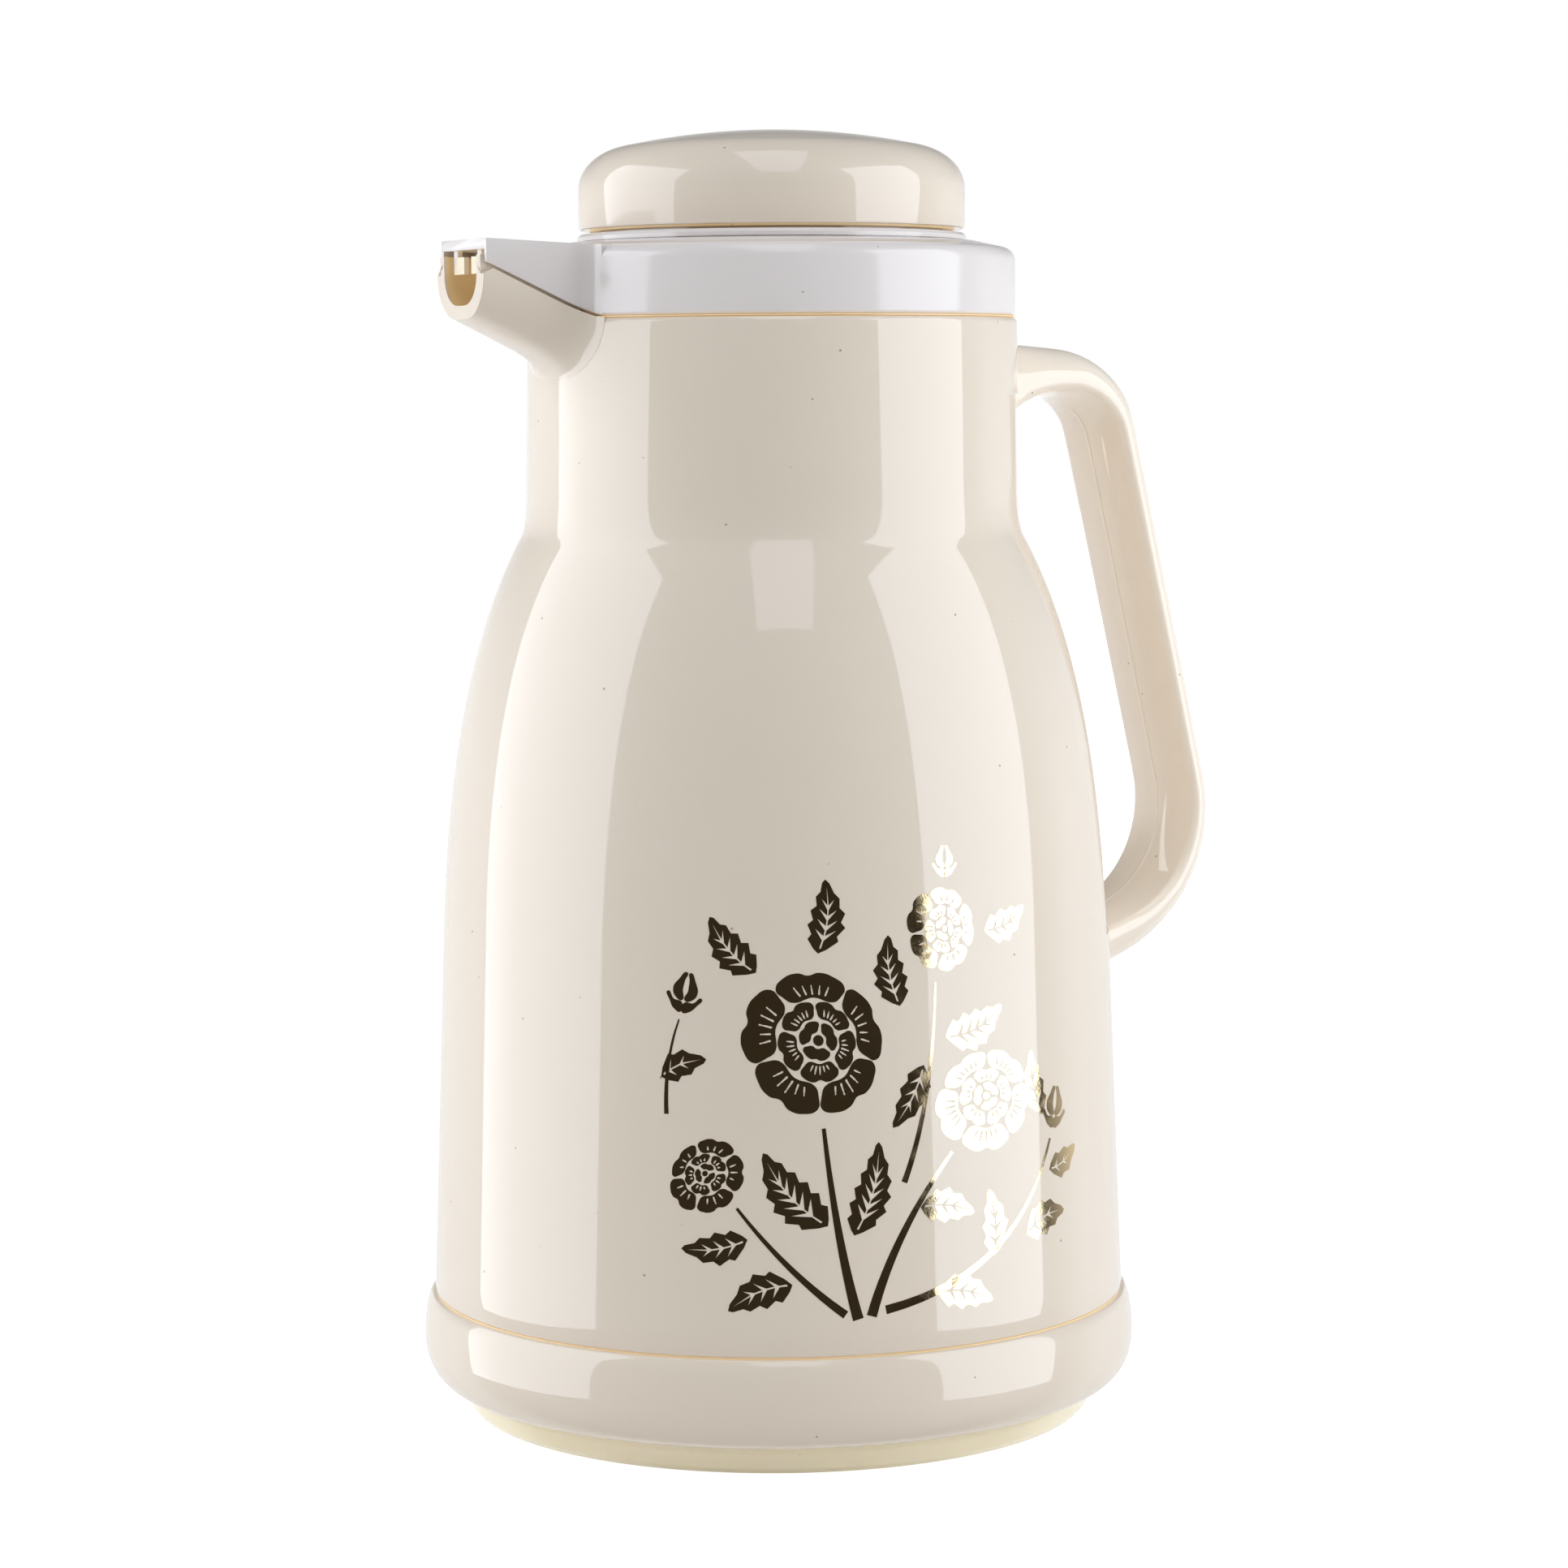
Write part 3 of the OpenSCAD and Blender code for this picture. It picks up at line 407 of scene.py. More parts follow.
@dataclass(frozen=True)
class StampedFoil:
    """Hot-stamped metal foil: a mirror that shows a dark room as brown and a lamp as white."""

    name: str = "hot_stamped_gold_foil"
    colour: str = "#ead8b6"
    worn: str = "#e2c998"
    roughness: float = 0.08
    patch: float = 9.0
    haze: float = 2.5
    grain: float = 0.5

    def build(self) -> Material:
        """Makes the material.

        Returns:
            The material.
        """
        material, tree, shader, place = new_material(self.name)
        # The lacquer over the metal is unevenly yellow.
        patch = add_node(tree, "ShaderNodeTexNoise", {
            "Vector": place, "Scale": per(self.patch), "Detail": 3.0}).outputs["Fac"]
        tint = add_node(tree, "ShaderNodeMix", {
            "Factor": patch, TINT_LOW: linear(self.worn), TINT_HIGH: linear(self.colour)},
            data_type="RGBA").outputs[TINT]
        tree.links.new(tint, shader.inputs["Base Color"])
        # The stamp's grain: fine uneven pressure, drawn a little coarser than real to show.
        grain = add_node(tree, "ShaderNodeTexNoise", {
            "Vector": place, "Scale": per(self.grain), "Detail": 2.0}).outputs["Fac"]
        bump = add_node(tree, "ShaderNodeBump", {
            "Height": grain, "Strength": 0.035, "Distance": 0.0002})
        tree.links.new(bump.outputs["Normal"], shader.inputs["Normal"])
        # Hands have hazed it in spots.
        haze = add_node(tree, "ShaderNodeTexNoise", {
            "Vector": place, "Scale": per(self.haze), "Detail": 4.0}).outputs["Fac"]
        dull = add_node(tree, "ShaderNodeMapRange", {
            "Value": haze, "From Min": 0.35, "From Max": 0.75,
            "To Min": self.roughness * 0.7, "To Max": self.roughness * 2.2})
        tree.links.new(dull.outputs[0], shader.inputs["Roughness"])
        shader.inputs["Metallic"].default_value = 1.0
        return material


@dataclass(frozen=True)
class SilveredGlass:
    """Blown glass, silvered inside the vacuum: a grey mirror with drawn streaks."""

    name: str = "silvered_blown_glass"
    colour: str = "#d4dadd"
    streak: str = "#c3cacd"
    streak_w: float = 5.0
    drawn_out: float = 0.12

    def build(self) -> Material:
        """Makes the material.

        Returns:
            The material.
        """
        material, tree, shader, place = new_material(self.name)
        # Glass that is drawn while hot keeps upright streaks.
        drawn = add_node(tree, "ShaderNodeMapping", {
            "Vector": place, "Scale": (1, 1, self.drawn_out)})
        streaks = add_node(tree, "ShaderNodeTexNoise", {
            "Vector": drawn.outputs[0], "Scale": per(self.streak_w), "Detail": 3.0}).outputs["Fac"]
        tint = add_node(tree, "ShaderNodeMix", {
            "Factor": streaks, TINT_LOW: linear(self.streak), TINT_HIGH: linear(self.colour)},
            data_type="RGBA").outputs[TINT]
        tree.links.new(tint, shader.inputs["Base Color"])
        bump = add_node(tree, "ShaderNodeBump", {
            "Height": streaks, "Strength": 0.05, "Distance": 0.0005})
        tree.links.new(bump.outputs["Normal"], shader.inputs["Normal"])
        shader.inputs["Metallic"].default_value = 1.0
        shader.inputs["Roughness"].default_value = 0.06
        return material


@dataclass(frozen=True)
class Matte:
    """A soft or cut material without gloss: rubber, felt or foam, by its grain."""

    name: str
    colour: str
    shade: str
    grain: float
    depth: float
    roughness: float
    sheen: float = 0.0

    def build(self) -> Material:
        """Makes the material.

        Returns:
            The material.
        """
        material, tree, shader, place = new_material(self.name)
        grain = add_node(tree, "ShaderNodeTexNoise", {
            "Vector": place, "Scale": per(self.grain), "Detail": 4.0}).outputs["Fac"]
        tint = add_node(tree, "ShaderNodeMix", {
            "Factor": grain, TINT_LOW: linear(self.shade), TINT_HIGH: linear(self.colour)},
            data_type="RGBA").outputs[TINT]
        tree.links.new(tint, shader.inputs["Base Color"])
        bump = add_node(tree, "ShaderNodeBump", {
            "Height": grain, "Strength": 0.4, "Distance": self.depth * MM})
        tree.links.new(bump.outputs["Normal"], shader.inputs["Normal"])
        shader.inputs["Roughness"].default_value = self.roughness
        shader.inputs["Sheen Weight"].default_value = self.sheen
        return material


class Stuff(Enum):
    """The jug's materials, each with its finish."""

    # Moulded in a polished tool: warm ivory under a clear gloss that shows lamps as sharp panes.
    IVORY = MouldedPlastic("moulded_ivory_polypropylene", "#f2e5d5", "#efe1cf")
    # The same for the slim handle, painted a shade lighter and with a painted glow,
    # for the light that gets into the bar from all sides.
    IVORY_LOOP = MouldedPlastic("ivory_handle_polypropylene_painted_glow", "#f5eadb", "#f2e6d5",
                                painted_glow=0.10)
    # Painted backlight in the trough's channel: amber with a painted glow for light through the
    # thin wall, without sharp reflections.
    BACKLIT = MouldedPlastic("ivory_polypropylene_painted_backlight", "#e6cb9a", "#dcbd86", 0.25,
                             painted_glow=0.16)
    # A painted glow deep in a joint: a fine amber line in place of light through the plastic.
    SEAM = MouldedPlastic("ivory_seam_polypropylene_painted_glow", "#f0d6a8", "#e8ca98", 0.3, painted_glow=0.26)
    # Moulded with more white pigment in a duller tool: cooler and paler, with soft-edged gloss.
    WHITE = MouldedPlastic("moulded_white_polypropylene", "#f2ebe8", "#eee7e4", 0.12)
    # The same on the thin web under the lip, painted creamy with a painted glow for light
    # passing through.
    WHITE_LIT = MouldedPlastic("white_polypropylene_painted_glow", "#f2e7cf", "#ecdfc2", 0.2,
                               painted_glow=0.12)
    # Moulded with hardly any pigment: milky cream that light soaks into, half glossy, set a
    # little lighter and with a faint painted glow that lifts it out of the jug's shadow.
    CREAM = MouldedPlastic("moulded_cream_polypropylene_painted_glow", "#f8edd4", "#f6e8c9", 0.16, 0.5, 0.13)
    # Stamped on hot as a film: brown-black where it mirrors the room, gold to white at a lamp.
    FOIL = StampedFoil()
    # Blown thin and silvered on its inner side: a cool grey mirror with faint streaks.
    GLASS = SilveredGlass()
    # Moulded soft rubber: milky, with a dull skin and no clear reflection.
    SILICONE = Matte("moulded_silicone_rubber", "#f2efe8", "#e9e5dc", 0.8, 0.02, 0.45)
    # Mineral fibre pressed into pads: a fuzzy grey-beige without gloss.
    FELT = Matte("pressed_mineral_felt", "#cfc8ba", "#b9b1a1", 0.9, 0.2, 0.95, 0.3)
    # Beads expanded by steam in a mould: white, with rounded cells that catch soft shade.
    FOAM = Matte("expanded_polystyrene_foam", "#f6f4ee", "#e6e3da", 3.0, 0.3, 0.85)


class Slot(Enum):
    """The record's material slots."""

    IVORY = "ivory_pp"
    WHITE = "white_pp"
    BASE = "base_pp"
    GLASS = "silvered_glass"
    SILICONE = "silicone"
    PAD = "pad"
    FOAM = "foam"


class Carrier(Enum):
    """The bodies that pieces ride on."""

    JUG = "jug"
    SEALS = "stopper_seals"
    STOPPER = "stopper"


FILLS = {
    Slot.IVORY: Stuff.IVORY, Slot.WHITE: Stuff.WHITE, Slot.BASE: Stuff.CREAM,
    Slot.GLASS: Stuff.GLASS, Slot.SILICONE: Stuff.SILICONE, Slot.PAD: Stuff.FELT,
    Slot.FOAM: Stuff.FOAM,
}
MATERIALS: dict[Stuff, Material] = {}


def stuff(kind: Stuff) -> Material:
    """Gives the material of a kind of stuff, and makes it when it is first asked for.

    Args:
        kind: The stuff.

    Returns:
        Its material.
    """
    if kind not in MATERIALS:
        MATERIALS[kind] = kind.value.build()
    return MATERIALS[kind]


def fit_out(obj: Object, kind: Stuff, slot: Slot, carrier: Carrier, *nodes: str) -> Object:
    """Finishes a piece: its material, its body and the solids that it stands for.

    Args:
        obj: The piece.
        kind: What it is made of.
        slot: The record's slot; not used.
        carrier: The body that it rides on.
        nodes: The solids that it replaces.

    Returns:
        The piece.
    """
    obj.data.materials.clear()
    obj.data.materials.append(stuff(kind))
    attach(obj, carrier.value)
    if nodes:
        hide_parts(*nodes)
    return obj


def paint_faces(obj: Object, kind: Stuff, test: Callable[[Vector, Vector], bool]) -> None:
    """Gives some faces of a piece a second stuff.

    Args:
        obj: The piece.
        kind: The second stuff.
        test: Takes a face's centre and normal, and says whether it gets it.
    """
    obj.data.materials.append(stuff(kind))
    for face in obj.data.polygons:
        if test(face.center / MM, face.normal):
            face.material_index = 1


# ---- Outlines ---------------------------------------------------------------------------------

def bezier(a: Point, b: Point, c: Point, t: float) -> Point:
    """A point on the curve from a to c that is drawn towards b."""
    return tuple((1 - t) ** 2 * p + 2 * t * (1 - t) * q + t * t * r for p, q, r in zip(a, b, c))


def arc(cx: float, cz: float, rx: float, rz: float, start: float, end: float,
        steps: int) -> list[Point]:
    """Points along part of an ellipse, from the start angle to the end angle."""
    angles = [math.radians(start + (end - start) * i / steps) for i in range(steps + 1)]
    return [(cx + rx * math.cos(a), cz + rz * math.sin(a)) for a in angles]


# ---- Sub-assemblies ---------------------------------------------------------------------------

@dataclass
class Body:
    """The ivory moulding: casing, handle and pouring trough."""

    low_r: float = 70.1
    waist_r: float = 67.4
    waist_z: float = 98.0
    foot_r: float = 49.6
    neck_r: float = 49.0
    seam_z: float = 23.7
    seam_gap: float = 0.3
    hem_r: float = 0.6
    shoulder_z: float = 181.0
    top_z: float = 219.5
    wall: float = 2.2
    opening_r: float = 39.5
    ledge_z: float = 217.1
    land_r: float = 47.7
    edge: float = 1.1
    channel_w: float = 15.4
    channel_ease: float = 0.1
    channel_len: float = 24.0
    channel_h: float = 30.0
    channel_r: float = 6.0
    channel_at: Point = (-46.0, 211.6)
    channel_slope: float = 25.0
    channel_end: float = -67.6
    panel_low: float = 96.3
    panel_top: float = 204.5
    panel_half: float = 43.0
    panel_head_half: float = 36.0
    taper_low: float = 161.0
    taper_top: float = 189.0
    panel_depth: float = 0.6
    panel_rim: float = 0.45
    parting_from: float = 70.5
    parting_w: float = 0.2
    parting_h: float = 0.12

    def outline(self) -> list[Point]:
        """Draws the casing's outside, from its lower edge to the neck's top.

        Returns:
            Radius and height along it.
        """
        lean = (self.low_r - self.waist_r) / (self.waist_z - self.seam_z)
        corner_z = self.waist_z + 0.62 * (self.shoulder_z - self.waist_z)
        corner = (self.waist_r - lean * (corner_z - self.waist_z), corner_z)
        waist = (self.waist_r, self.waist_z)
        foot = (self.foot_r + 1.2, self.shoulder_z - 4.5)
        low = self.seam_z + self.seam_gap
        hem = arc(self.low_r - self.hem_r, low + self.hem_r, self.hem_r, self.hem_r, -90, 0, 3)
        side = [(self.low_r - lean * 6 * i, low + 6 * i) for i in range(1, 12)]
        shoulder = [bezier(waist, corner, foot, i / 44) for i in range(45)]
        fillet = [bezier(foot, (self.foot_r, self.shoulder_z - 1.5),
                         (self.foot_r, self.shoulder_z + 5), i / 8) for i in range(1, 9)]
        return hem + side + shoulder + fillet

    def cut_channel(self, casing: Object) -> None:
        """Opens the neck's wall where the pouring channel runs through it.

        Args:
            casing: The casing.
        """
        deselect()
        bpy.ops.mesh.primitive_cube_add(size=1, location=(0, 0, 0))
        cutter = bpy.context.active_object
        width = self.channel_w + self.channel_ease
        cutter.scale = (self.channel_len * MM, width * MM, self.channel_h * MM)
        cutter.location = (0, 0, self.channel_h / 2 * MM)
        settle(cutter)
        # The two long lower edges become the channel's round bottom.
        select_where(cutter, Part.EDGES,
                     lambda a, b: max(a.z, b.z) < 1 and abs(a.x - b.x) > 1)
        bpy.ops.mesh.bevel(offset=self.channel_r * MM, segments=8)
        bpy.ops.object.mode_set(mode="OBJECT")
        cutter.rotation_euler = (0, math.radians(self.channel_slope), 0)
        cutter.location = (self.channel_at[0] * MM, 0, self.channel_at[1] * MM)
        settle(cutter)
        apply_modifier(casing, "BOOLEAN", object=cutter, operation="DIFFERENCE", solver="EXACT")
        bpy.data.objects.remove(cutter)

    def sink_panel(self, casing: Object) -> None:
        """Presses the shallow panel into the skin behind the handle.

        Args:
            casing: The casing.
        """
        wide, narrow = self.panel_half, self.panel_head_half
        taper = self.taper_top - self.taper_low

        def on_skin(centre: Vector, normal: Vector, margin: float) -> bool:
            """Tells whether a face of the outer skin lies in the panel.

            Args:
                centre: The face's centre.
                normal: Its normal.
                margin: How far outside the panel it may lie.

            Returns:
                Whether it does.
            """
            share = min(max((centre.z - self.taper_low) / taper, 0), 1)
            half = wide + (narrow - wide) * share
            outward = normal.x * centre.x + normal.y * centre.y > 0
            return (outward and centre.x > 0
                    and self.panel_low - margin < centre.z < self.panel_top + margin
                    and abs(centre.y) < half + margin)

        slant = Vector((0, taper, wide - narrow)).normalized()
        planes = [((0, 0, self.panel_low), (0, 0, 1)), ((0, 0, self.panel_top), (0, 0, 1))]
        for side in (1, -1):
            planes += [((0, side * wide, 0), (0, 1, 0)), ((0, side * narrow, 0), (0, 1, 0)),
                       ((0, side * wide, self.taper_low), (0, side * slant.y, slant.z))]
        for place, normal in planes:
            select_where(casing, Part.FACES, lambda c, n: on_skin(c, n, 8.0))
            bpy.ops.mesh.bisect(plane_co=Vector(place) * MM, plane_no=normal)
            bpy.ops.object.mode_set(mode="OBJECT")
        select_where(casing, Part.FACES, lambda c, n: on_skin(c, n, 0.0))
        bpy.ops.mesh.inset(thickness=self.panel_rim * MM, depth=-self.panel_depth * MM)
        bpy.ops.object.mode_set(mode="OBJECT")

    def make_casing(self) -> Object:
        """Turns the casing as a shell with a ledge round the opening in its top.

        Returns:
            The casing.
        """
        outside = self.outline()
        inside = [(r - self.wall, z) for r, z in reversed(outside)]
        rim = arc(self.neck_r - self.edge, self.top_z - self.edge, self.edge, self.edge, 0, 90, 5)
        land_z = self.top_z + self.seam_gap - 0.02
        ledge = [(self.land_r, self.top_z), (self.land_r, land_z), (self.opening_r, land_z),
                 (self.opening_r, self.ledge_z), (self.neck_r - self.wall, self.ledge_z)]
        casing = turned("casing", outside + rim + ledge + inside, 256)
        self.sink_panel(casing)
        self.cut_channel(casing)
        smooth(casing)
        return fit_out(casing, Stuff.IVORY, Slot.IVORY, Carrier.JUG, "outer_casing")

    def make_handle(self) -> Object:
        """Refines the handle's loft into a smooth moulding with its parting line.

        Returns:
            The handle.
        """
        handle = twin("handle", "loop_handle")
        round_off(handle, 50)
        middle = 0.001
        select_where(handle, Part.EDGES, lambda a, b: (
            abs(a.y) < middle and abs(b.y) < middle and min(a.x, b.x) > self.parting_from))
        bpy.ops.mesh.bevel(offset=self.parting_w * MM, segments=2, profile=0.5)
        bpy.ops.mesh.select_less()
        bpy.ops.transform.shrink_fatten(value=self.parting_h * MM)
        bpy.ops.object.mode_set(mode="OBJECT")
        smooth(handle, 40)
        # The handle gets the ivory painted a shade lighter, with a painted glow.
        return fit_out(handle, Stuff.IVORY_LOOP, Slot.IVORY, Carrier.JUG, "handle")

    def make_trough(self) -> Object:
        """Refines the pouring trough, whose channel has a painted glow of light through its walls.

        Returns:
            The trough.
        """
        half = self.channel_w / 2

        def in_channel(centre: Vector, normal: Vector) -> bool:
            """Tells whether a face is the channel's floor, or a wall that faces its middle.

            Args:
                centre: The face's centre.
                normal: Its normal.

            Returns:
                Whether it is.
            """
            off = abs(centre.y)
            wall = 1 < off < half + 0.3 and normal.y * centre.y < -0.3 * off
            floor = off < half + 0.1 and normal.z > 0.3
            return (wall or floor) and centre.x > self.channel_end

        trough = twin("spout_trough", "pouring_trough")
        round_off(trough, 38)
        smooth(trough, 35)
        fit_out(trough, Stuff.IVORY, Slot.IVORY, Carrier.JUG, "spout_trough")
        # The channel's faces get the painted backlight: amber with a painted glow.
        paint_faces(trough, Stuff.BACKLIT, in_channel)
        return trough

    def build(self) -> list[Object]:
        """Makes the moulding's pieces, the casing first."""
        return [self.make_casing(), self.make_handle(), self.make_trough()]


@dataclass
class Drawn:
    """A closed shape of the spray: its outline, the cuts in it, and whether it is drawn round."""

    outline: list[Point]
    cuts: list[list[Point]] = field(default_factory=list)
    rounded: bool = True

    def fill(self) -> Object:
        """Fills the outline flat, with its cuts left open.

        Returns:
            The flat mesh.
        """
        data = bpy.data.curves.new("lines", "CURVE")
        data.dimensions, data.fill_mode = "2D", "BOTH"
        data.resolution_u = 5 if self.rounded else 1
        kind = "AUTO" if self.rounded else "VECTOR"
        for loop in [self.outline] + self.cuts:
            line = data.splines.new("BEZIER")
            line.bezier_points.add(len(loop) - 1)
            line.use_cyclic_u = True
            for point, (u, z) in zip(line.bezier_points, loop):
                point.co = (u * MM, z * MM, 0)
                point.handle_left_type = point.handle_right_type = kind
        flat = bpy.data.objects.new("shape", data)
        bpy.context.scene.collection.objects.link(flat)
        pick(flat)
        bpy.ops.object.convert(target="MESH")
        return flat


class Motif:
    """What the spray is drawn from, as listed points and places.

    PETAL, BUD, SEPAL and SLIVER are outlines in shares: how far along, and how far to the side.
    RINGS gives each ring of a blossom's petals: its inner and outer radius as shares, and how
    many petals it has.
    """

    PETAL = ((0.0, -0.86), (0.35, -1.0), (0.78, -0.98), (0.98, -0.62), (1.0, -0.24), (0.86, 0.02),
             (1.0, 0.28), (0.97, 0.66), (0.76, 0.99), (0.35, 1.0), (0.0, 0.86), (-0.02, 0.0))
    RINGS = ((0.61, 1.0, 5), (0.32, 0.56, 5), (0.12, 0.275, 3))
    BUD = ((0.30, 0.03), (0.34, 0.22), (0.55, 0.33), (0.80, 0.22), (1.0, 0.04), (0.80, 0.06),
           (0.55, 0.07))
    SEPAL = ((0.0, 0.02), (0.04, 0.2), (0.22, 0.36), (0.44, 0.46), (0.28, 0.26), (0.24, 0.03))
    SLIVER = ((0, 0), (0.35, 0.5), (0.7, 0.36), (1, 0), (0.7, -0.36), (0.35, -0.5))
    # Centre, radius, turn and tilt.
    BLOSSOMS = (((7.0, 83.5), 14.2, 20, 0.08), ((43.0, 70.5), 11.4, 52, 0.14),
                ((33.5, 104.0), 8.2, 5, 0.10), ((-13.5, 58.5), 7.6, 75, 0.12))
    # Start, middle, end and width.
    STEMS = (((15.0, 31.0), (11.0, 46.0), (8.8, 67.5), 2.1),
             ((17.6, 31.5), (22.5, 48.0), (34.8, 61.5), 2.0),
             ((12.6, 32.0), (2.0, 40.0), (-7.8, 52.5), 1.6),
             ((20.4, 32.5), (50.0, 38.0), (60.5, 61.0), 1.7),
             ((24.5, 56.5), (31.0, 72.0), (31.8, 94.0), 1.2),
             ((-21.5, 70.0), (-22.0, 80.0), (-19.0, 88.0), 0.9))
    # Foot, tip, width and sway.
    LEAVES = (((9.4, 49.0), (-2.8, 63.0), 7.6, 1.6), ((14.4, 47.0), (19.5, 64.5), 6.6, -1.4),
              ((27.8, 51.5), (39.6, 49.4), 6.0, 0.9), ((33.8, 83.5), (47.5, 88.5), 7.0, -1.6),
              ((29.0, 78.5), (22.4, 67.0), 5.4, 0.8), ((31.0, 35.0), (43.5, 32.0), 6.2, 1.0),
              ((52.6, 43.5), (64.5, 46.5), 6.4, 1.2), ((2.6, 38.0), (-9.5, 33.0), 6.2, -1.2),
              ((-5.8, 46.6), (-18.5, 44.6), 5.6, 1.0), ((44.0, 40.5), (43.0, 53.5), 5.6, -1.0),
              ((24.2, 90.0), (22.0, 103.5), 6.0, 1.0), ((-4.0, 97.0), (-13.0, 107.5), 6.4, 1.2),
              ((8.0, 100.5), (9.6, 114.5), 6.4, -1.2), ((60.0, 55.0), (69.5, 58.5), 5.0, -0.9),
              ((58.2, 66.0), (55.2, 79.0), 5.6, 1.0), ((43.5, 103.0), (54.5, 107.0), 6.0, -1.2),
              ((-22.6, 77.0), (-13.6, 80.6), 5.0, 0.9))
    # Foot, lean and size.
    BUDS = (((61.6, 63.0), 10, 8.0), ((-18.6, 89.4), 12, 7.6), ((34.6, 114.0), 2, 6.0))


@dataclass
class FoilSpray:
    """A stamped spray of round blossoms, buds and toothed leaves, drawn flat and wrapped on."""

    facing: float = 62.0
    skin_r: float = 69.3
    lift: float = 0.02
    thick: float = 0.03
    span: Point = (-26.0, 74.0)
    rise: Point = (24.0, 118.0)
    cell: Point = (1.5, 4.5)
    slot_w: float = 0.34
    gap: float = 0.3
    tooth: float = 3.0
    shapes: list[Drawn] = field(default_factory=list)

    def sliver(self, start: Point, end: Point) -> list[Point]:
        """Draws the outline of a cut in a petal.

        Args:
            start: Its inner point.
            end: Its outer point.

        Returns:
            A thin pointed loop, widest near its first third.
        """
        run, rise = end[0] - start[0], end[1] - start[1]
        length = math.hypot(run, rise)
        ux, uz = run / length, rise / length
        return [(start[0] + ux * length * share - uz * off * self.slot_w,
                 start[1] + uz * length * share + ux * off * self.slot_w)
                for share, off in Motif.SLIVER]

    def blossom(self, centre: Point, radius: float, turn: float, tilt: float) -> None:
        """Draws a layered round blossom, seen a little from one side.

        Args:
            centre: Its middle.
            radius: To the outer petals' tips.
            turn: Angle that it is turned by.
            tilt: How much shorter it looks one way, as a share.
        """
        lean = math.radians(turn * 1.7)

        def place(r: float, degrees: float) -> Point:
            """Places a point of the blossom.

            Args:
                r: Its distance from the middle.
                degrees: Its angle.

            Returns:
                Where it is drawn.
            """
            a = math.radians(degrees)
            x, z = r * math.cos(a), r * math.sin(a)
            cut = (x * math.cos(lean) + z * math.sin(lean)) * tilt
            shift = 0.08 * radius * (1 - (r / radius) ** 2) - cut
            return centre[0] + x + shift * math.cos(lean), centre[1] + z + shift * math.sin(lean)

        for ring, (low, high, count) in enumerate(Motif.RINGS):
            share = 360 / count
            for i in range(count):
                mid = turn + share * (i + 0.5 * ring)
                top = high * (1 + 0.03 * math.sin(4.1 * i)) if ring == 0 else high
                shape = []
                for along, side in Motif.PETAL:
                    r = radius * (low + (top - low) * along)
                    shape.append(place(r, mid + side * (share / 2 - math.degrees(self.gap / r))))
                petal = Drawn(shape)
                # The cuts are what shades each petal.
                strokes = 0 if ring == 2 else 5 if radius * (1 - 0.3 * ring) > 9 else 3
                for k in range(strokes):
                    side = (k - (strokes - 1) / 2) / strokes * 1.3
                    reach = 0.42 - 0.2 * abs(side) + 0.07 * math.sin(5 * k + i)
                    foot, tip = (radius * (low + (top - low) * s) for s in (0.09, 0.14 + reach))
                    petal.cuts.append(self.sliver(place(foot, mid + share / 2 * side * 0.85),
                                                  place(tip, mid + share / 2 * side)))
                self.shapes.append(petal)
        self.shapes.append(Drawn([place(0.075 * radius, 60 * k) for k in range(6)]))

    def leaf(self, foot: Point, tip: Point, width: float, sway: float) -> None:
        """Draws a toothed leaf with its veins cut out.

        Args:
            foot: Where its stalk is.
            tip: Its point.
            width: Its greatest width.
            sway: How far its middle stands off the straight line, to the left.
        """
        run, rise = tip[0] - foot[0], tip[1] - foot[1]
        length = math.hypot(run, rise)
        ux, uz = run / length, rise / length

        def place(share: float, off: float) -> Point:
            """Places a point of the leaf.

            Args:
                share: How far along the leaf it is, as a share.
                off: How far it is off the midrib.

            Returns:
                Where it is drawn.
            """
            side = off + 4 * share * (1 - share) * sway
            return (foot[0] + ux * length * share - uz * side,
                    foot[1] + uz * length * share + ux * side)

        def edge(share: float) -> float:
            """Gives half the leaf's width at this share of its length."""
            return 0.5 * width * math.sin(math.pi * share ** 0.75) ** 0.8

        teeth = max(3, round(length / self.tooth))
        upper: list[Point] = []
        lower: list[Point] = []
        for k in range(teeth):
            root, crest = (k + 0.3) / (teeth + 0.2), (k + 0.95) / (teeth + 0.2)
            upper += [place(root, edge(root) * 0.86), place(crest, edge(crest) * 1.14 + 0.08)]
            lower += [place(root, -edge(root) * 0.86), place(crest, -edge(crest) * 1.14 - 0.08)]
        outline = [place(0, 0)] + upper + [place(1, 0)] + lower[::-1]
        # One cut: the midrib with its side veins.
        rib: list[Point] = []
        veins = max(2, teeth - 1)
        for side in (1, -1):
            half = [place(0.07, side * 0.2)]
            for k in range(veins):
                share = 0.2 + 0.55 * k / veins
                reach = edge(share + 0.16) * 0.66
                half += [place(share - 0.02, side * 0.16), place(share + 0.13, side * reach),
                         place(share + 0.045, side * 0.15)]
            half.append(place(0.9, 0.0 if side < 0 else 0.02))
            rib += half if side > 0 else half[::-1]
        self.shapes.append(Drawn(outline, [rib], rounded=False))

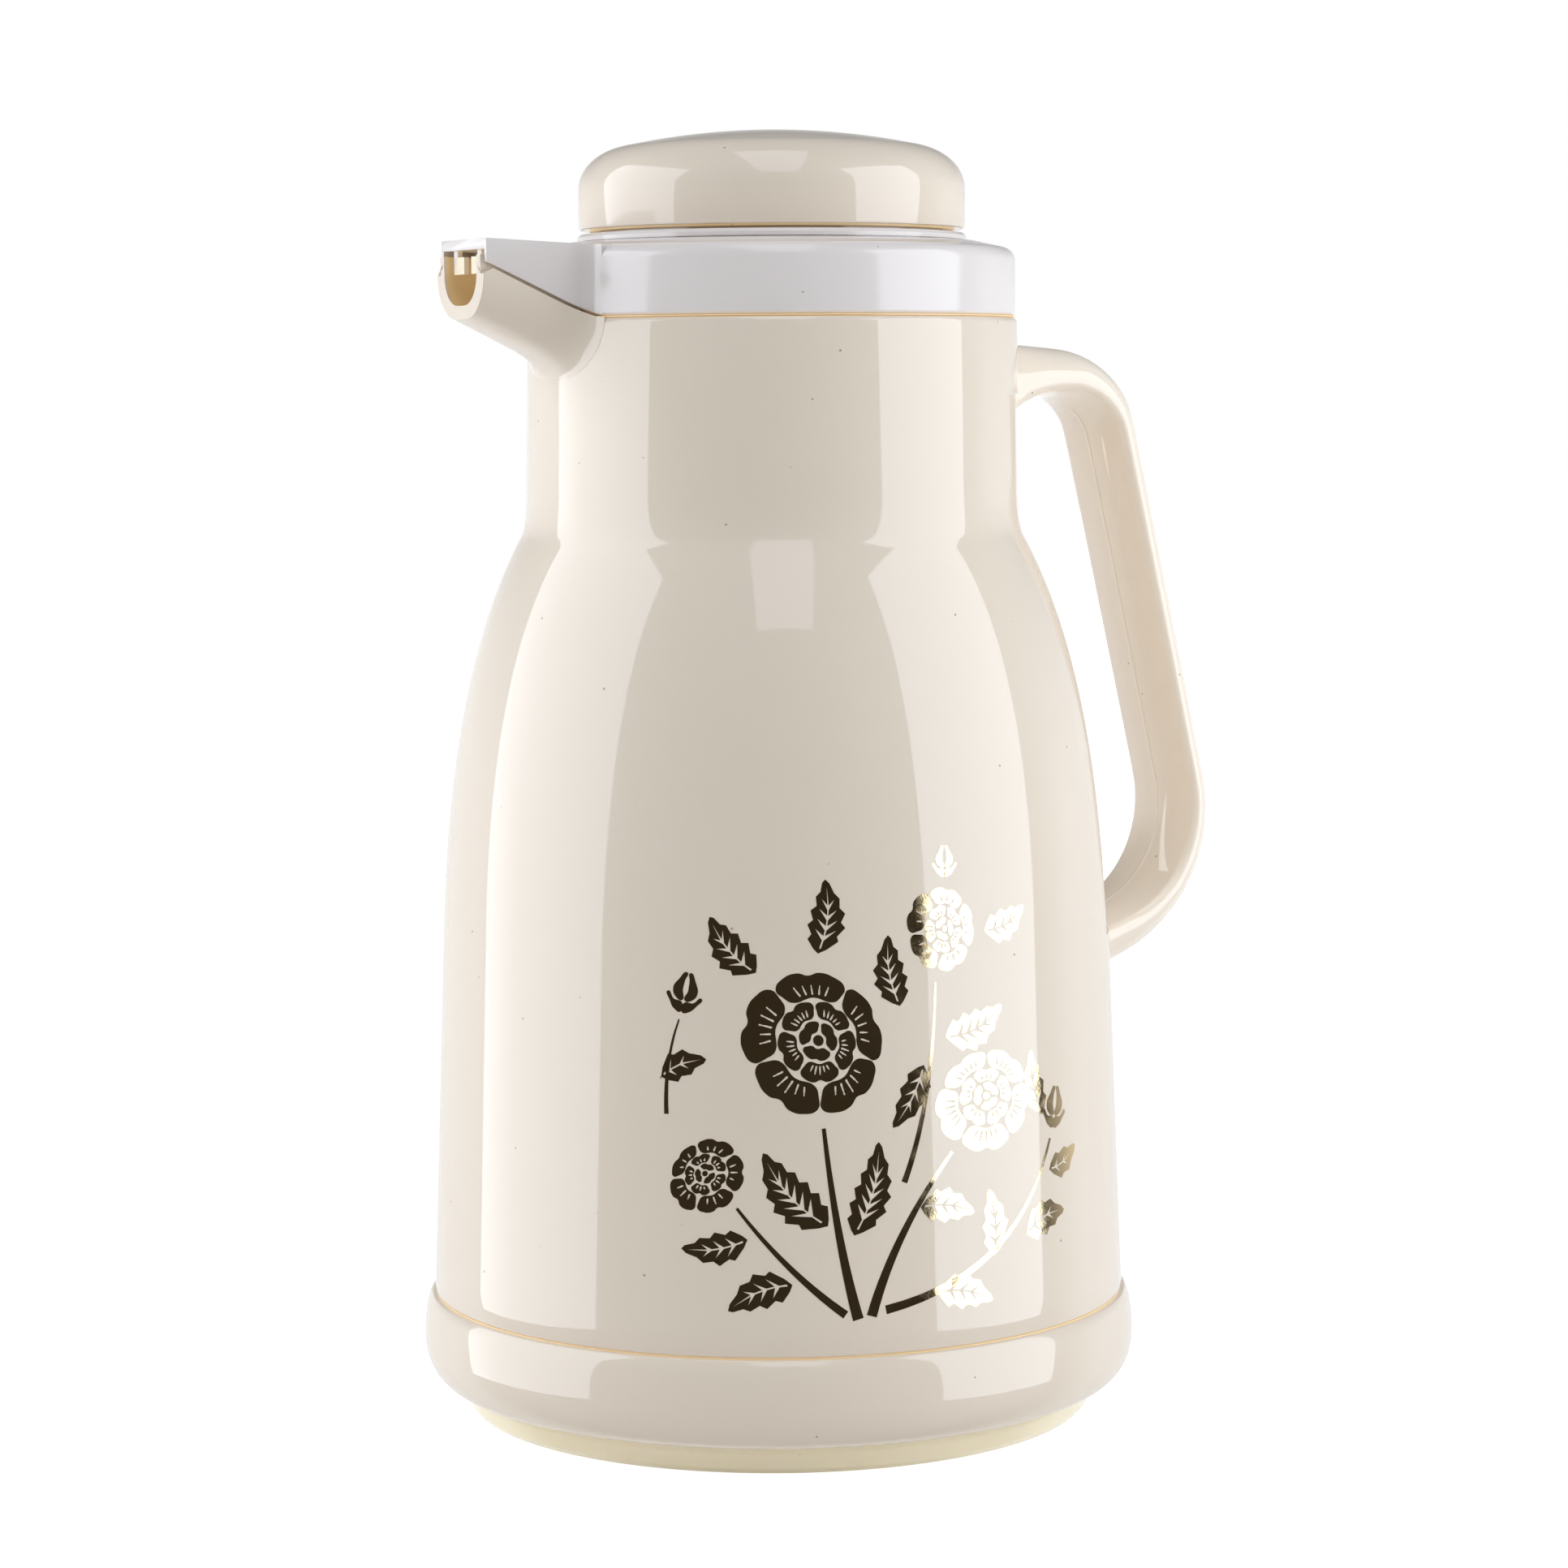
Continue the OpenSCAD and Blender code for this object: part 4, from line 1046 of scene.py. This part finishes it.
    def stem(self, start: Point, middle: Point, end: Point, width: float) -> None:
        """Draws a tapered stalk along a bend.

        Args:
            start: Its thick end.
            middle: What the bend is drawn towards.
            end: Its thin end.
            width: At its thick end.
        """
        left, right = [], []
        steps = 16
        for i in range(steps + 1):
            t = i / steps
            x, z = bezier(start, middle, end, t)
            dx = 2 * (1 - t) * (middle[0] - start[0]) + 2 * t * (end[0] - middle[0])
            dz = 2 * (1 - t) * (middle[1] - start[1]) + 2 * t * (end[1] - middle[1])
            size = width * (0.5 - 0.32 * t) / math.hypot(dx, dz)
            left.append((x - dz * size, z + dx * size))
            right.append((x + dz * size, z - dx * size))
        self.shapes.append(Drawn(left + right[::-1], rounded=False))

    def bud(self, foot: Point, lean: float, size: float) -> None:
        """Draws a closed bud on two sepals.

        Args:
            foot: Where its stalk ends.
            lean: Angle that it points away from upright, to the right.
            size: Its length.
        """
        a = math.radians(lean)

        def place(along: float, side: float) -> Point:
            """Places a point this far up the bud and this far to its side."""
            return (foot[0] + along * math.sin(a) + side * math.cos(a),
                    foot[1] + along * math.cos(a) - side * math.sin(a))

        for side in (1, -1):
            for half in (Motif.BUD, Motif.SEPAL):
                self.shapes.append(Drawn([place(size * p, side * size * q) for p, q in half]))

    def draw(self) -> None:
        """Lays out the spray: a loose fan that opens from its lower middle."""
        for pen, strokes in ((self.blossom, Motif.BLOSSOMS), (self.stem, Motif.STEMS),
                             (self.leaf, Motif.LEAVES), (self.bud, Motif.BUDS)):
            for stroke in strokes:
                pen(*stroke)

    def flatten(self) -> Object:
        """Fills the drawing and cuts it into cells that can follow the casing.

        Returns:
            The flat spray.
        """
        spray = join([shape.fill() for shape in self.shapes], "foil_spray")
        close_up(spray, 0.01)
        for direction, (low, high) in enumerate((self.span, self.rise)):
            across = [0.0, 0.0, 0.0]
            across[direction] = 1.0
            cell = self.cell[direction]
            for i in range(1, int((high - low) / cell)):
                pick(spray)
                bpy.ops.object.mode_set(mode="EDIT")
                bpy.ops.mesh.select_all(action="SELECT")
                bpy.ops.mesh.bisect(plane_co=[(low + i * cell) * MM * share for share in across],
                                    plane_no=across)
                bpy.ops.object.mode_set(mode="OBJECT")
        return spray

    def build(self, casing: Object) -> Object:
        """Wraps the spray on the casing and gives it the foil's thickness.

        Args:
            casing: The finished casing.

        Returns:
            The spray.
        """
        self.draw()
        spray = self.flatten()
        spray.rotation_euler = (math.radians(90), 0, 0)
        settle(spray)
        deselect()
        bpy.ops.curve.primitive_bezier_circle_add(radius=self.skin_r * MM)
        hoop = bpy.context.active_object
        hoop.data.resolution_u = 64
        bpy.ops.object.mode_set(mode="EDIT")
        bpy.ops.curve.select_all(action="SELECT")
        bpy.ops.curve.switch_direction()
        bpy.ops.object.mode_set(mode="OBJECT")
        apply_modifier(spray, "CURVE", object=hoop, deform_axis="POS_X")
        bpy.data.objects.remove(hoop)
        spray.rotation_euler = (0, 0, math.radians(self.facing))
        settle(spray)
        apply_modifier(spray, "SHRINKWRAP", target=casing, wrap_method="NEAREST_SURFACEPOINT",
                       wrap_mode="ABOVE_SURFACE", offset=self.lift * MM)
        close_up(spray, 0.001)
        apply_modifier(spray, "SOLIDIFY", thickness=self.thick * MM, offset=1)
        smooth(spray, 25)
        return fit_out(spray, Stuff.FOIL, Slot.IVORY, Carrier.JUG)


@dataclass
class Thread:
    """A three-start thread whose lead is the stopper's rise for each turn."""

    lead: float = 12.0
    starts: int = 3
    low_z: float = 223.0
    high_z: float = 233.2
    width: float = 1.7
    crest: float = 0.9
    bite: float = 0.3

    def ridge(self, name: str, root_r: float, inward: bool, phase: float) -> Object:
        """Winds the thread's ridges on a bore or a skirt.

        Args:
            name: The piece's name.
            root_r: Radius that the ridges stand on.
            inward: Whether they point to the axis.
            phase: Share of the gap between ridges by which they are turned on.

        Returns:
            The ridges as one piece, open at their ends.
        """
        rise = self.high_z - self.low_z - self.width
        turns = rise / self.lead
        steps = int(72 * turns)
        sign = -1 if inward else 1
        ridges = []
        for start in range(self.starts):
            deselect()
            bpy.ops.mesh.primitive_plane_add(size=1)
            ridge = bpy.context.active_object
            ridge.scale = ((self.crest + self.bite) * MM, self.width * MM, 1)
            ridge.rotation_euler = (math.radians(90), 0, 0)
            ridge.location = ((root_r + sign * (self.crest - self.bite) / 2) * MM, 0,
                              (self.low_z + self.width / 2) * MM)
            settle(ridge)
            # The crest is narrower than the root, as a moulded thread's is.
            select_where(ridge, Part.POINTS, lambda p: (p.x - root_r) * sign > 0.2)
            bpy.ops.transform.resize(value=(1, 1, 0.5))
            bpy.ops.object.mode_set(mode="OBJECT")
            apply_modifier(ridge, "SCREW", axis="Z", angle=math.tau * turns,
                           screw_offset=rise * MM, steps=steps, render_steps=steps,
                           use_merge_vertices=False)
            ridge.rotation_euler = (0, 0, math.tau * (start + phase) / self.starts)
            settle(ridge)
            ridges.append(ridge)
        whole = join(ridges, name)
        close_up(whole, 0.001)
        smooth(whole, 30)
        return whole


@dataclass
class Collar:
    """The white cover on the neck, with its lip, and the threaded ring in it."""

    thread: Thread = field(default_factory=Thread)
    bore_r: float = 34.5
    groove_r: float = 35.4
    groove_run: float = 0.6
    groove_lead: float = 0.8
    cover_edge: float = 0.35
    web_from: float = -50.0
    web_half: float = 7.75
    web_top: float = 233.4
    tab_top: float = 230.5
    strip_r: tuple[float, float] = (47.72, 48.6)
    strip_z: tuple[float, float] = (219.56, 219.77)

    def make_cover(self) -> Object:
        """Refines the cover: its edges are rounded as a moulding's are.

        Returns:
            The cover.
        """
        def gets_painted_glow(centre: Vector, normal: Vector) -> bool:
            """Tells whether a face is on the thin web under the lip, or on a tab that hangs there,
            and so gets the painted glow.

            Args:
                centre: The face's centre.
                normal: Its normal.

            Returns:
                Whether it is.
            """
            under = (centre.x < self.web_from and abs(centre.y) < self.web_half
                     and centre.z < self.web_top and normal.z < 0.5)
            return under and (normal.x > -0.6 or centre.z < self.tab_top)

        cover = twin("collar", "collar_cover")
        apply_modifier(cover, "BEVEL", width=self.cover_edge * MM, segments=3,
                       limit_method="ANGLE", angle_limit=math.radians(40), use_clamp_overlap=True)
        smooth(cover, 35)
        fit_out(cover, Stuff.WHITE, Slot.WHITE, Carrier.JUG, "collar")
        # The web and tabs get the painted glow: a creamier white that emits light.
        paint_faces(cover, Stuff.WHITE_LIT, gets_painted_glow)
        return cover

    def make_ring(self) -> Object:
        """Refines the neck ring and opens its bore for the thread.

        Returns:
            The ring.
        """
        ring = twin("neck_ring", "threaded_neck_ring")
        low, high = self.thread.low_z - self.groove_run, self.thread.high_z + self.groove_run
        tap = turned("tap", [(self.bore_r - 2, low), (self.bore_r, low),
                             (self.groove_r, low + self.groove_lead),
                             (self.groove_r, high - self.groove_lead),
                             (self.bore_r, high), (self.bore_r - 2, high)], 128)
        apply_modifier(ring, "BOOLEAN", object=tap, operation="DIFFERENCE", solver="EXACT")
        bpy.data.objects.remove(tap)
        smooth(ring, 30)
        return fit_out(ring, Stuff.WHITE, Slot.WHITE, Carrier.JUG, "neck_ring")

    def make_thread(self) -> Object:
        """Winds the ring's inside thread, between the stopper's ridges."""
        ridges = self.thread.ridge("neck_ring_thread", self.groove_r, True, 0.5)
        return fit_out(ridges, Stuff.WHITE, Slot.WHITE, Carrier.JUG)

    def make_seam_glow(self) -> Object:
        """Turns a painted glow strip for the ivory land that light shows through in the collar's
        joint.

        Returns:
            The strip.
        """
        (inner, outer), (low, high) = self.strip_r, self.strip_z
        seam = turned("collar_seam_glow_strip", [(inner, low), (outer, low), (outer, high),
                                            (inner, high)])
        smooth(seam)
        # The strip's amber colour and emission are a painted glow in the joint.
        return fit_out(seam, Stuff.SEAM, Slot.IVORY, Carrier.JUG)

    def build(self) -> list[Object]:
        """Makes the cover, the ring, its thread and the joint's painted glow strip."""
        return [self.make_cover(), self.make_ring(), self.make_thread(), self.make_seam_glow()]


@dataclass
class Foot:
    """The foot that screws on under the casing."""

    seam_z: float = 23.7
    seam_gap: float = 0.3
    land_r: float = 69.2
    strip_w: float = 0.6
    ease_r: float = 0.02
    ease_z: float = 0.03

    def build(self) -> list[Object]:
        """Refines the foot ring and puts a painted glow strip on the land in its joint.

        Returns:
            The foot ring and the joint's painted glow strip.
        """
        foot = twin("base_ring", "foot_ring")
        smooth(foot, 28)
        fit_out(foot, Stuff.IVORY, Slot.IVORY, Carrier.JUG, "base_ring")
        inner, low = self.land_r + self.ease_r, self.seam_z + self.ease_z
        outer, high = inner + self.strip_w, self.seam_z + self.seam_gap - self.ease_z
        seam = turned("foot_seam_glow_strip", [(inner, low), (outer, low), (outer, high),
                                          (inner, high)])
        smooth(seam)
        # The strip's amber colour and emission are a painted glow in the joint.
        fit_out(seam, Stuff.SEAM, Slot.IVORY, Carrier.JUG)
        return [foot, seam]


@dataclass
class Stopper:
    """The screw stopper with its round cap."""

    thread: Thread = field(default_factory=Thread)
    cap_r: float = 38.6
    cap_z: float = 237.2
    cap_h: float = 19.7
    crown_h: float = 3.4
    side_h: float = 8.0
    shoulder_w: float = 11.5
    wall: float = 2.0
    skirt_r: float = 34.2
    ring_drop: float = 0.35
    ring_rise: float = 1.6
    ring_r: tuple[float, float] = (-1.1, -0.2)
    ring_edge: float = 0.1

    def cap_outline(self, inset: float) -> list[Point]:
        """Draws the cap's section: rounded shoulder and low crown.

        Args:
            inset: How far it is drawn in.

        Returns:
            Radius and height along it.
        """
        shoulder_h = self.cap_h - self.side_h - self.crown_h + 0.5
        centre = (self.cap_r - self.shoulder_w, self.cap_z + self.side_h)
        shoulder = arc(*centre, self.shoulder_w - inset, shoulder_h - inset, 0, 78, 24)
        rim_r, rim_z = shoulder[-1]
        top = self.cap_z + self.cap_h - inset
        crown = [(rim_r * (1 - i / 20), top - (top - rim_z) * (1 - i / 20) ** 2)
                 for i in range(1, 21)]
        return shoulder + crown

    def make_cap(self) -> Object:
        """Turns the cap as a shell with a rounded lower edge.

        Returns:
            The cap.
        """
        # Known fault: the inner rings follow the pole, whose scaling leaves them up to 0.25 off,
        # so the inner wall doesn't close on the hem and its faces point into the wall.
        hem = [(self.cap_r - 0.5, self.cap_z), (self.cap_r - 0.15, self.cap_z + 0.15),
               (self.cap_r, self.cap_z + 0.5)]
        outline = hem + self.cap_outline(0) + self.cap_outline(self.wall)[::-1] + [
            (self.cap_r - self.wall, self.cap_z)]
        cap = turned("cap", outline)
        smooth(cap, 28)
        return fit_out(cap, Stuff.IVORY, Slot.IVORY, Carrier.STOPPER, "stopper_cap")

    def make_skirt(self) -> Object:
        """Turns the ring inside the cap's hem, painted to glow in the gap under the cap.

        Returns:
            The ring.
        """
        root = self.cap_r - self.wall
        low, high, edge = self.cap_z - self.ring_drop, self.cap_z + self.ring_rise, self.ring_edge
        inner, outer = (root + off for off in self.ring_r)
        ring = turned("cap_inner_skirt_painted_glow", [
            (inner, high), (inner, low + edge), (inner + edge, low),
            (outer - edge, low), (outer, low + edge), (outer, high)])
        smooth(ring)
        # The ring's amber colour and emission are a painted glow in the gap under the cap.
        return fit_out(ring, Stuff.SEAM, Slot.IVORY, Carrier.STOPPER)

    def make_thread(self) -> Object:
        """Winds the stopper's outside thread."""
        ridges = self.thread.ridge("stopper_thread", self.skirt_r, False, 0.0)
        return fit_out(ridges, Stuff.IVORY, Slot.IVORY, Carrier.STOPPER)

    def build(self) -> list[Object]:
        """Makes the cap, the ring in it and the thread."""
        return [self.make_cap(), self.make_skirt(), self.make_thread()]


# ---- Studio -----------------------------------------------------------------------------------

@dataclass(frozen=True)
class SoftBox:
    """A soft box that faces the jug's middle.

    side is its angle to the right of the direction to the camera, and rise its angle above the
    jug's middle. reach, wide and high are in metres. radiance is how bright its face is, where
    white paint in full light is 1.
    """

    name: str
    side: float
    rise: float
    reach: float
    wide: float
    high: float
    radiance: float
    tint: tuple[float, float, float] = (0.93, 0.99, 1.07)
    aim_z: float = 130.0

    def hang(self, azimuth: float) -> None:
        """Hangs the soft box.

        Args:
            azimuth: The camera's angle round the jug.
        """
        data = bpy.data.lights.new(self.name, "AREA")
        data.shape = "RECTANGLE"
        data.size, data.size_y = self.wide, self.high
        data.energy = self.radiance * math.pi * self.wide * self.high
        data.color = self.tint
        lamp = bpy.data.objects.new(self.name, data)
        bpy.context.scene.collection.objects.link(lamp)
        turn, rise = math.radians(-90 - azimuth + self.side), math.radians(self.rise)
        out = Vector((math.cos(turn) * math.cos(rise), math.sin(turn) * math.cos(rise),
                      math.sin(rise)))
        lamp.location = Vector((0, 0, self.aim_z * MM)) + out * self.reach
        lamp.rotation_euler = out.to_track_quat("Z", "Y").to_euler()


@dataclass
class Studio:
    """White sweep, two side soft boxes, an overhead one, and the camera.

    pitch, roll and yaw are in radians. fill, sweep and front are the world's levels for matt
    light, for what gloss shows behind the jug and for what it shows in front of it.
    """

    distance: float = 828.53
    eye_z: float = 206.02
    azimuth: float = 28.0
    pitch: float = 0.09643
    roll: float = 0.0062
    yaw: float = 0.00212
    focal_px: float = 5060.18
    image_px: int = 1932
    sensor: float = 36.0
    boxes: tuple[SoftBox, ...] = (
        SoftBox("soft_box_right", 73, 12, 1.0, 0.87, 1.3, 2.8),
        SoftBox("soft_box_left", -87, 12, 1.0, 1.1, 1.3, 2.6),
        SoftBox("soft_box_top", 4.5, 66, 1.2, 0.48, 1.5, 1.5))
    fill: float = 0.165
    sweep: float = 0.95
    front: float = 0.035
    floor_lift: float = 0.75
    floor_white: float = 1.05

    def place_camera(self) -> None:
        """Sets the camera at the eye's place, with its small roll and yaw."""
        cos, sin = math.cos, math.sin
        forward = Vector((sin(self.yaw) * cos(self.pitch), cos(self.yaw) * cos(self.pitch),
                          -sin(self.pitch)))
        right = Vector((cos(self.yaw), -sin(self.yaw), 0))
        down = forward.cross(right)
        right, down = (cos(self.roll) * right + sin(self.roll) * down,
                       cos(self.roll) * down - sin(self.roll) * right)
        turn = Matrix.Rotation(-math.radians(self.azimuth), 3, "Z")
        forward, right, down = turn @ forward, turn @ right, turn @ down
        eye = turn @ Vector((0, -self.distance, self.eye_z)) * MM
        data = bpy.data.cameras.new("camera")
        data.sensor_width = self.sensor
        data.sensor_fit = "HORIZONTAL"
        data.lens = self.focal_px / self.image_px * self.sensor
        data.clip_start = 0.05
        camera = bpy.data.objects.new("camera", data)
        bpy.context.scene.collection.objects.link(camera)
        camera.matrix_world = Matrix((
            (right.x, -down.x, -forward.x, eye.x), (right.y, -down.y, -forward.y, eye.y),
            (right.z, -down.z, -forward.z, eye.z), (0, 0, 0, 1)))
        bpy.context.scene.camera = camera

    def behind(self, tree: NodeTree, place: NodeSocket, start: float, full: float,
               low: float, high: float) -> NodeSocket:
        """Sets a level that goes from low to high towards what stands behind the jug.

        Args:
            tree: The node tree.
            place: Direction, of which the share that points backwards counts.
            start: That share where the change starts.
            full: That share where it ends.
            low: The level in front.
            high: The level behind.

        Returns:
            The level's socket.
        """
        turn = math.radians(90 - self.azimuth)
        share = add_node(tree, "ShaderNodeVectorMath", {
            0: place, 1: (math.cos(turn), math.sin(turn), 0.0)}, operation="DOT_PRODUCT")
        return add_node(tree, "ShaderNodeMapRange", {
            "Value": share.outputs["Value"], "From Min": start, "From Max": full,
            "To Min": low, "To Max": high}).outputs[0]

    def paint_world(self) -> None:
        """Makes a sweep that looks white, and that gloss shows bright behind and dark in front."""
        world = bpy.data.worlds.new("sweep")
        bpy.context.scene.world = world
        world.use_nodes = True
        tree = world.node_tree
        tree.nodes.clear()
        white = (1, 1, 1, 1)
        warm_room = (1.0, 0.86, 0.68, 1)
        warm_fill = (1.0, 0.91, 0.79, 1)
        direction = add_node(tree, "ShaderNodeTexCoord").outputs["Generated"]
        path = add_node(tree, "ShaderNodeLightPath")
        glossy = path.outputs["Is Glossy Ray"]
        seen = add_node(tree, "ShaderNodeMath", {
            0: path.outputs["Is Camera Ray"], 1: path.outputs["Is Transmission Ray"]},
            operation="MAXIMUM").outputs[0]
        # The sweep behind the jug fades with height, to the dark of the ceiling.
        sweep = self.behind(tree, direction, 0.15, 0.5, self.front, self.sweep)
        height = add_node(tree, "ShaderNodeSeparateXYZ", {0: direction}).outputs["Z"]
        fade = add_node(tree, "ShaderNodeMapRange", {
            "Value": height, "From Min": 0.0, "From Max": 0.25, "To Min": 1.0, "To Max": 0.25})
        shown = add_node(tree, "ShaderNodeMath", {0: sweep, 1: fade.outputs[0]},
                         operation="MULTIPLY").outputs[0]
        gloss = add_node(tree, "ShaderNodeMix", {
            "Factor": glossy, LOW: self.fill, HIGH: shown}, data_type="FLOAT").outputs[BLEND]
        strength = add_node(tree, "ShaderNodeMix", {
            "Factor": seen, LOW: gloss, HIGH: 1.0}, data_type="FLOAT").outputs[BLEND]
        # Gloss sees a warm room in front and white behind, and matt light is a little warm.
        room = add_node(tree, "ShaderNodeMix", {
            "Factor": self.behind(tree, direction, 0.0, 0.3, 1.0, 0.0),
            TINT_LOW: white, TINT_HIGH: warm_room}, data_type="RGBA").outputs[TINT]
        tone = add_node(tree, "ShaderNodeMix", {
            "Factor": glossy, TINT_LOW: warm_fill, TINT_HIGH: room},
            data_type="RGBA").outputs[TINT]
        hue = add_node(tree, "ShaderNodeMix", {
            "Factor": seen, TINT_LOW: tone, TINT_HIGH: white}, data_type="RGBA").outputs[TINT]
        back = add_node(tree, "ShaderNodeBackground", {"Color": hue, "Strength": strength})
        add_node(tree, "ShaderNodeOutputWorld", {"Surface": back.outputs[0]})

    def paint_paper(self) -> Material:
        """Makes the floor's paper: matt white that keeps a shadow and looks white to the camera.

        Returns:
            The material.
        """
        material = bpy.data.materials.new("white_sweep_paper")
        material.use_nodes = True
        tree = material.node_tree
        tree.nodes.clear()
        paper = add_node(tree, "ShaderNodeBsdfDiffuse", {"Color": (0.9, 0.9, 0.9, 1)})
        place = add_node(tree, "ShaderNodeTexCoord").outputs["Object"]
        path = add_node(tree, "ShaderNodeLightPath")
        seen = add_node(tree, "ShaderNodeMath", {
            0: path.outputs["Is Camera Ray"], 1: path.outputs["Is Transmission Ray"]},
            operation="MAXIMUM")
        # It is lifted to full white away from the jug, in metres from its middle.
        reach = add_node(tree, "ShaderNodeVectorMath", {0: place}, operation="LENGTH")
        level = add_node(tree, "ShaderNodeMapRange", {
            "Value": reach.outputs["Value"], "From Min": 0.15, "From Max": 0.8,
            "To Min": self.floor_lift, "To Max": self.floor_white})
        lift = add_node(tree, "ShaderNodeMath", {0: seen.outputs[0], 1: level.outputs[0]},
                        operation="MULTIPLY")
        glow = add_node(tree, "ShaderNodeEmission", {"Strength": lift.outputs[0]})
        looked = add_node(tree, "ShaderNodeAddShader", {0: paper.outputs[0], 1: glow.outputs[0]})
        add_node(tree, "ShaderNodeOutputMaterial", {"Surface": looked.outputs[0]})
        return material

    def lay_floor(self) -> None:
        """Lays a white floor that keeps the jug's shadow."""
        deselect()
        bpy.ops.mesh.primitive_circle_add(vertices=96, radius=6, fill_type="NGON")
        floor = bpy.context.active_object
        floor.name = "floor"
        floor.location.z = -0.2 * MM
        settle(floor)
        floor.data.materials.append(self.paint_paper())
        # Gloss shows the lamps whole, as over a small table, and not cut off by this floor.
        floor.visible_glossy = False

    def build(self) -> None:
        """Sets up camera, lamps, world and floor."""
        self.place_camera()
        for box in self.boxes:
            box.hang(self.azimuth)
        self.paint_world()
        self.lay_floor()
        bpy.context.scene.view_settings.view_transform = "Standard"


def main() -> None:
    """Builds the studio and the jug, sub-assembly by sub-assembly, and reports each piece."""
    logging.basicConfig(level=logging.INFO, format="%(name)s: %(message)s")
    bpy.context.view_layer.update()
    Studio().build()
    pieces = Body().build()
    pieces.append(FoilSpray().build(pieces[0]))
    for part in (Collar(), Foot(), Stopper()):
        pieces += part.build()
    for piece in pieces:
        log.info("%s: %d faces", piece.name, len(piece.data.polygons))
    for node in frame["nodes"].values():
        slot = Slot(node.data.materials[0].name)
        node.data.materials.clear()
        node.data.materials.append(stuff(FILLS[slot]))
        log.info("%s: finished as %s", node.name, slot.value)


if __name__ == "__main__":
    main()
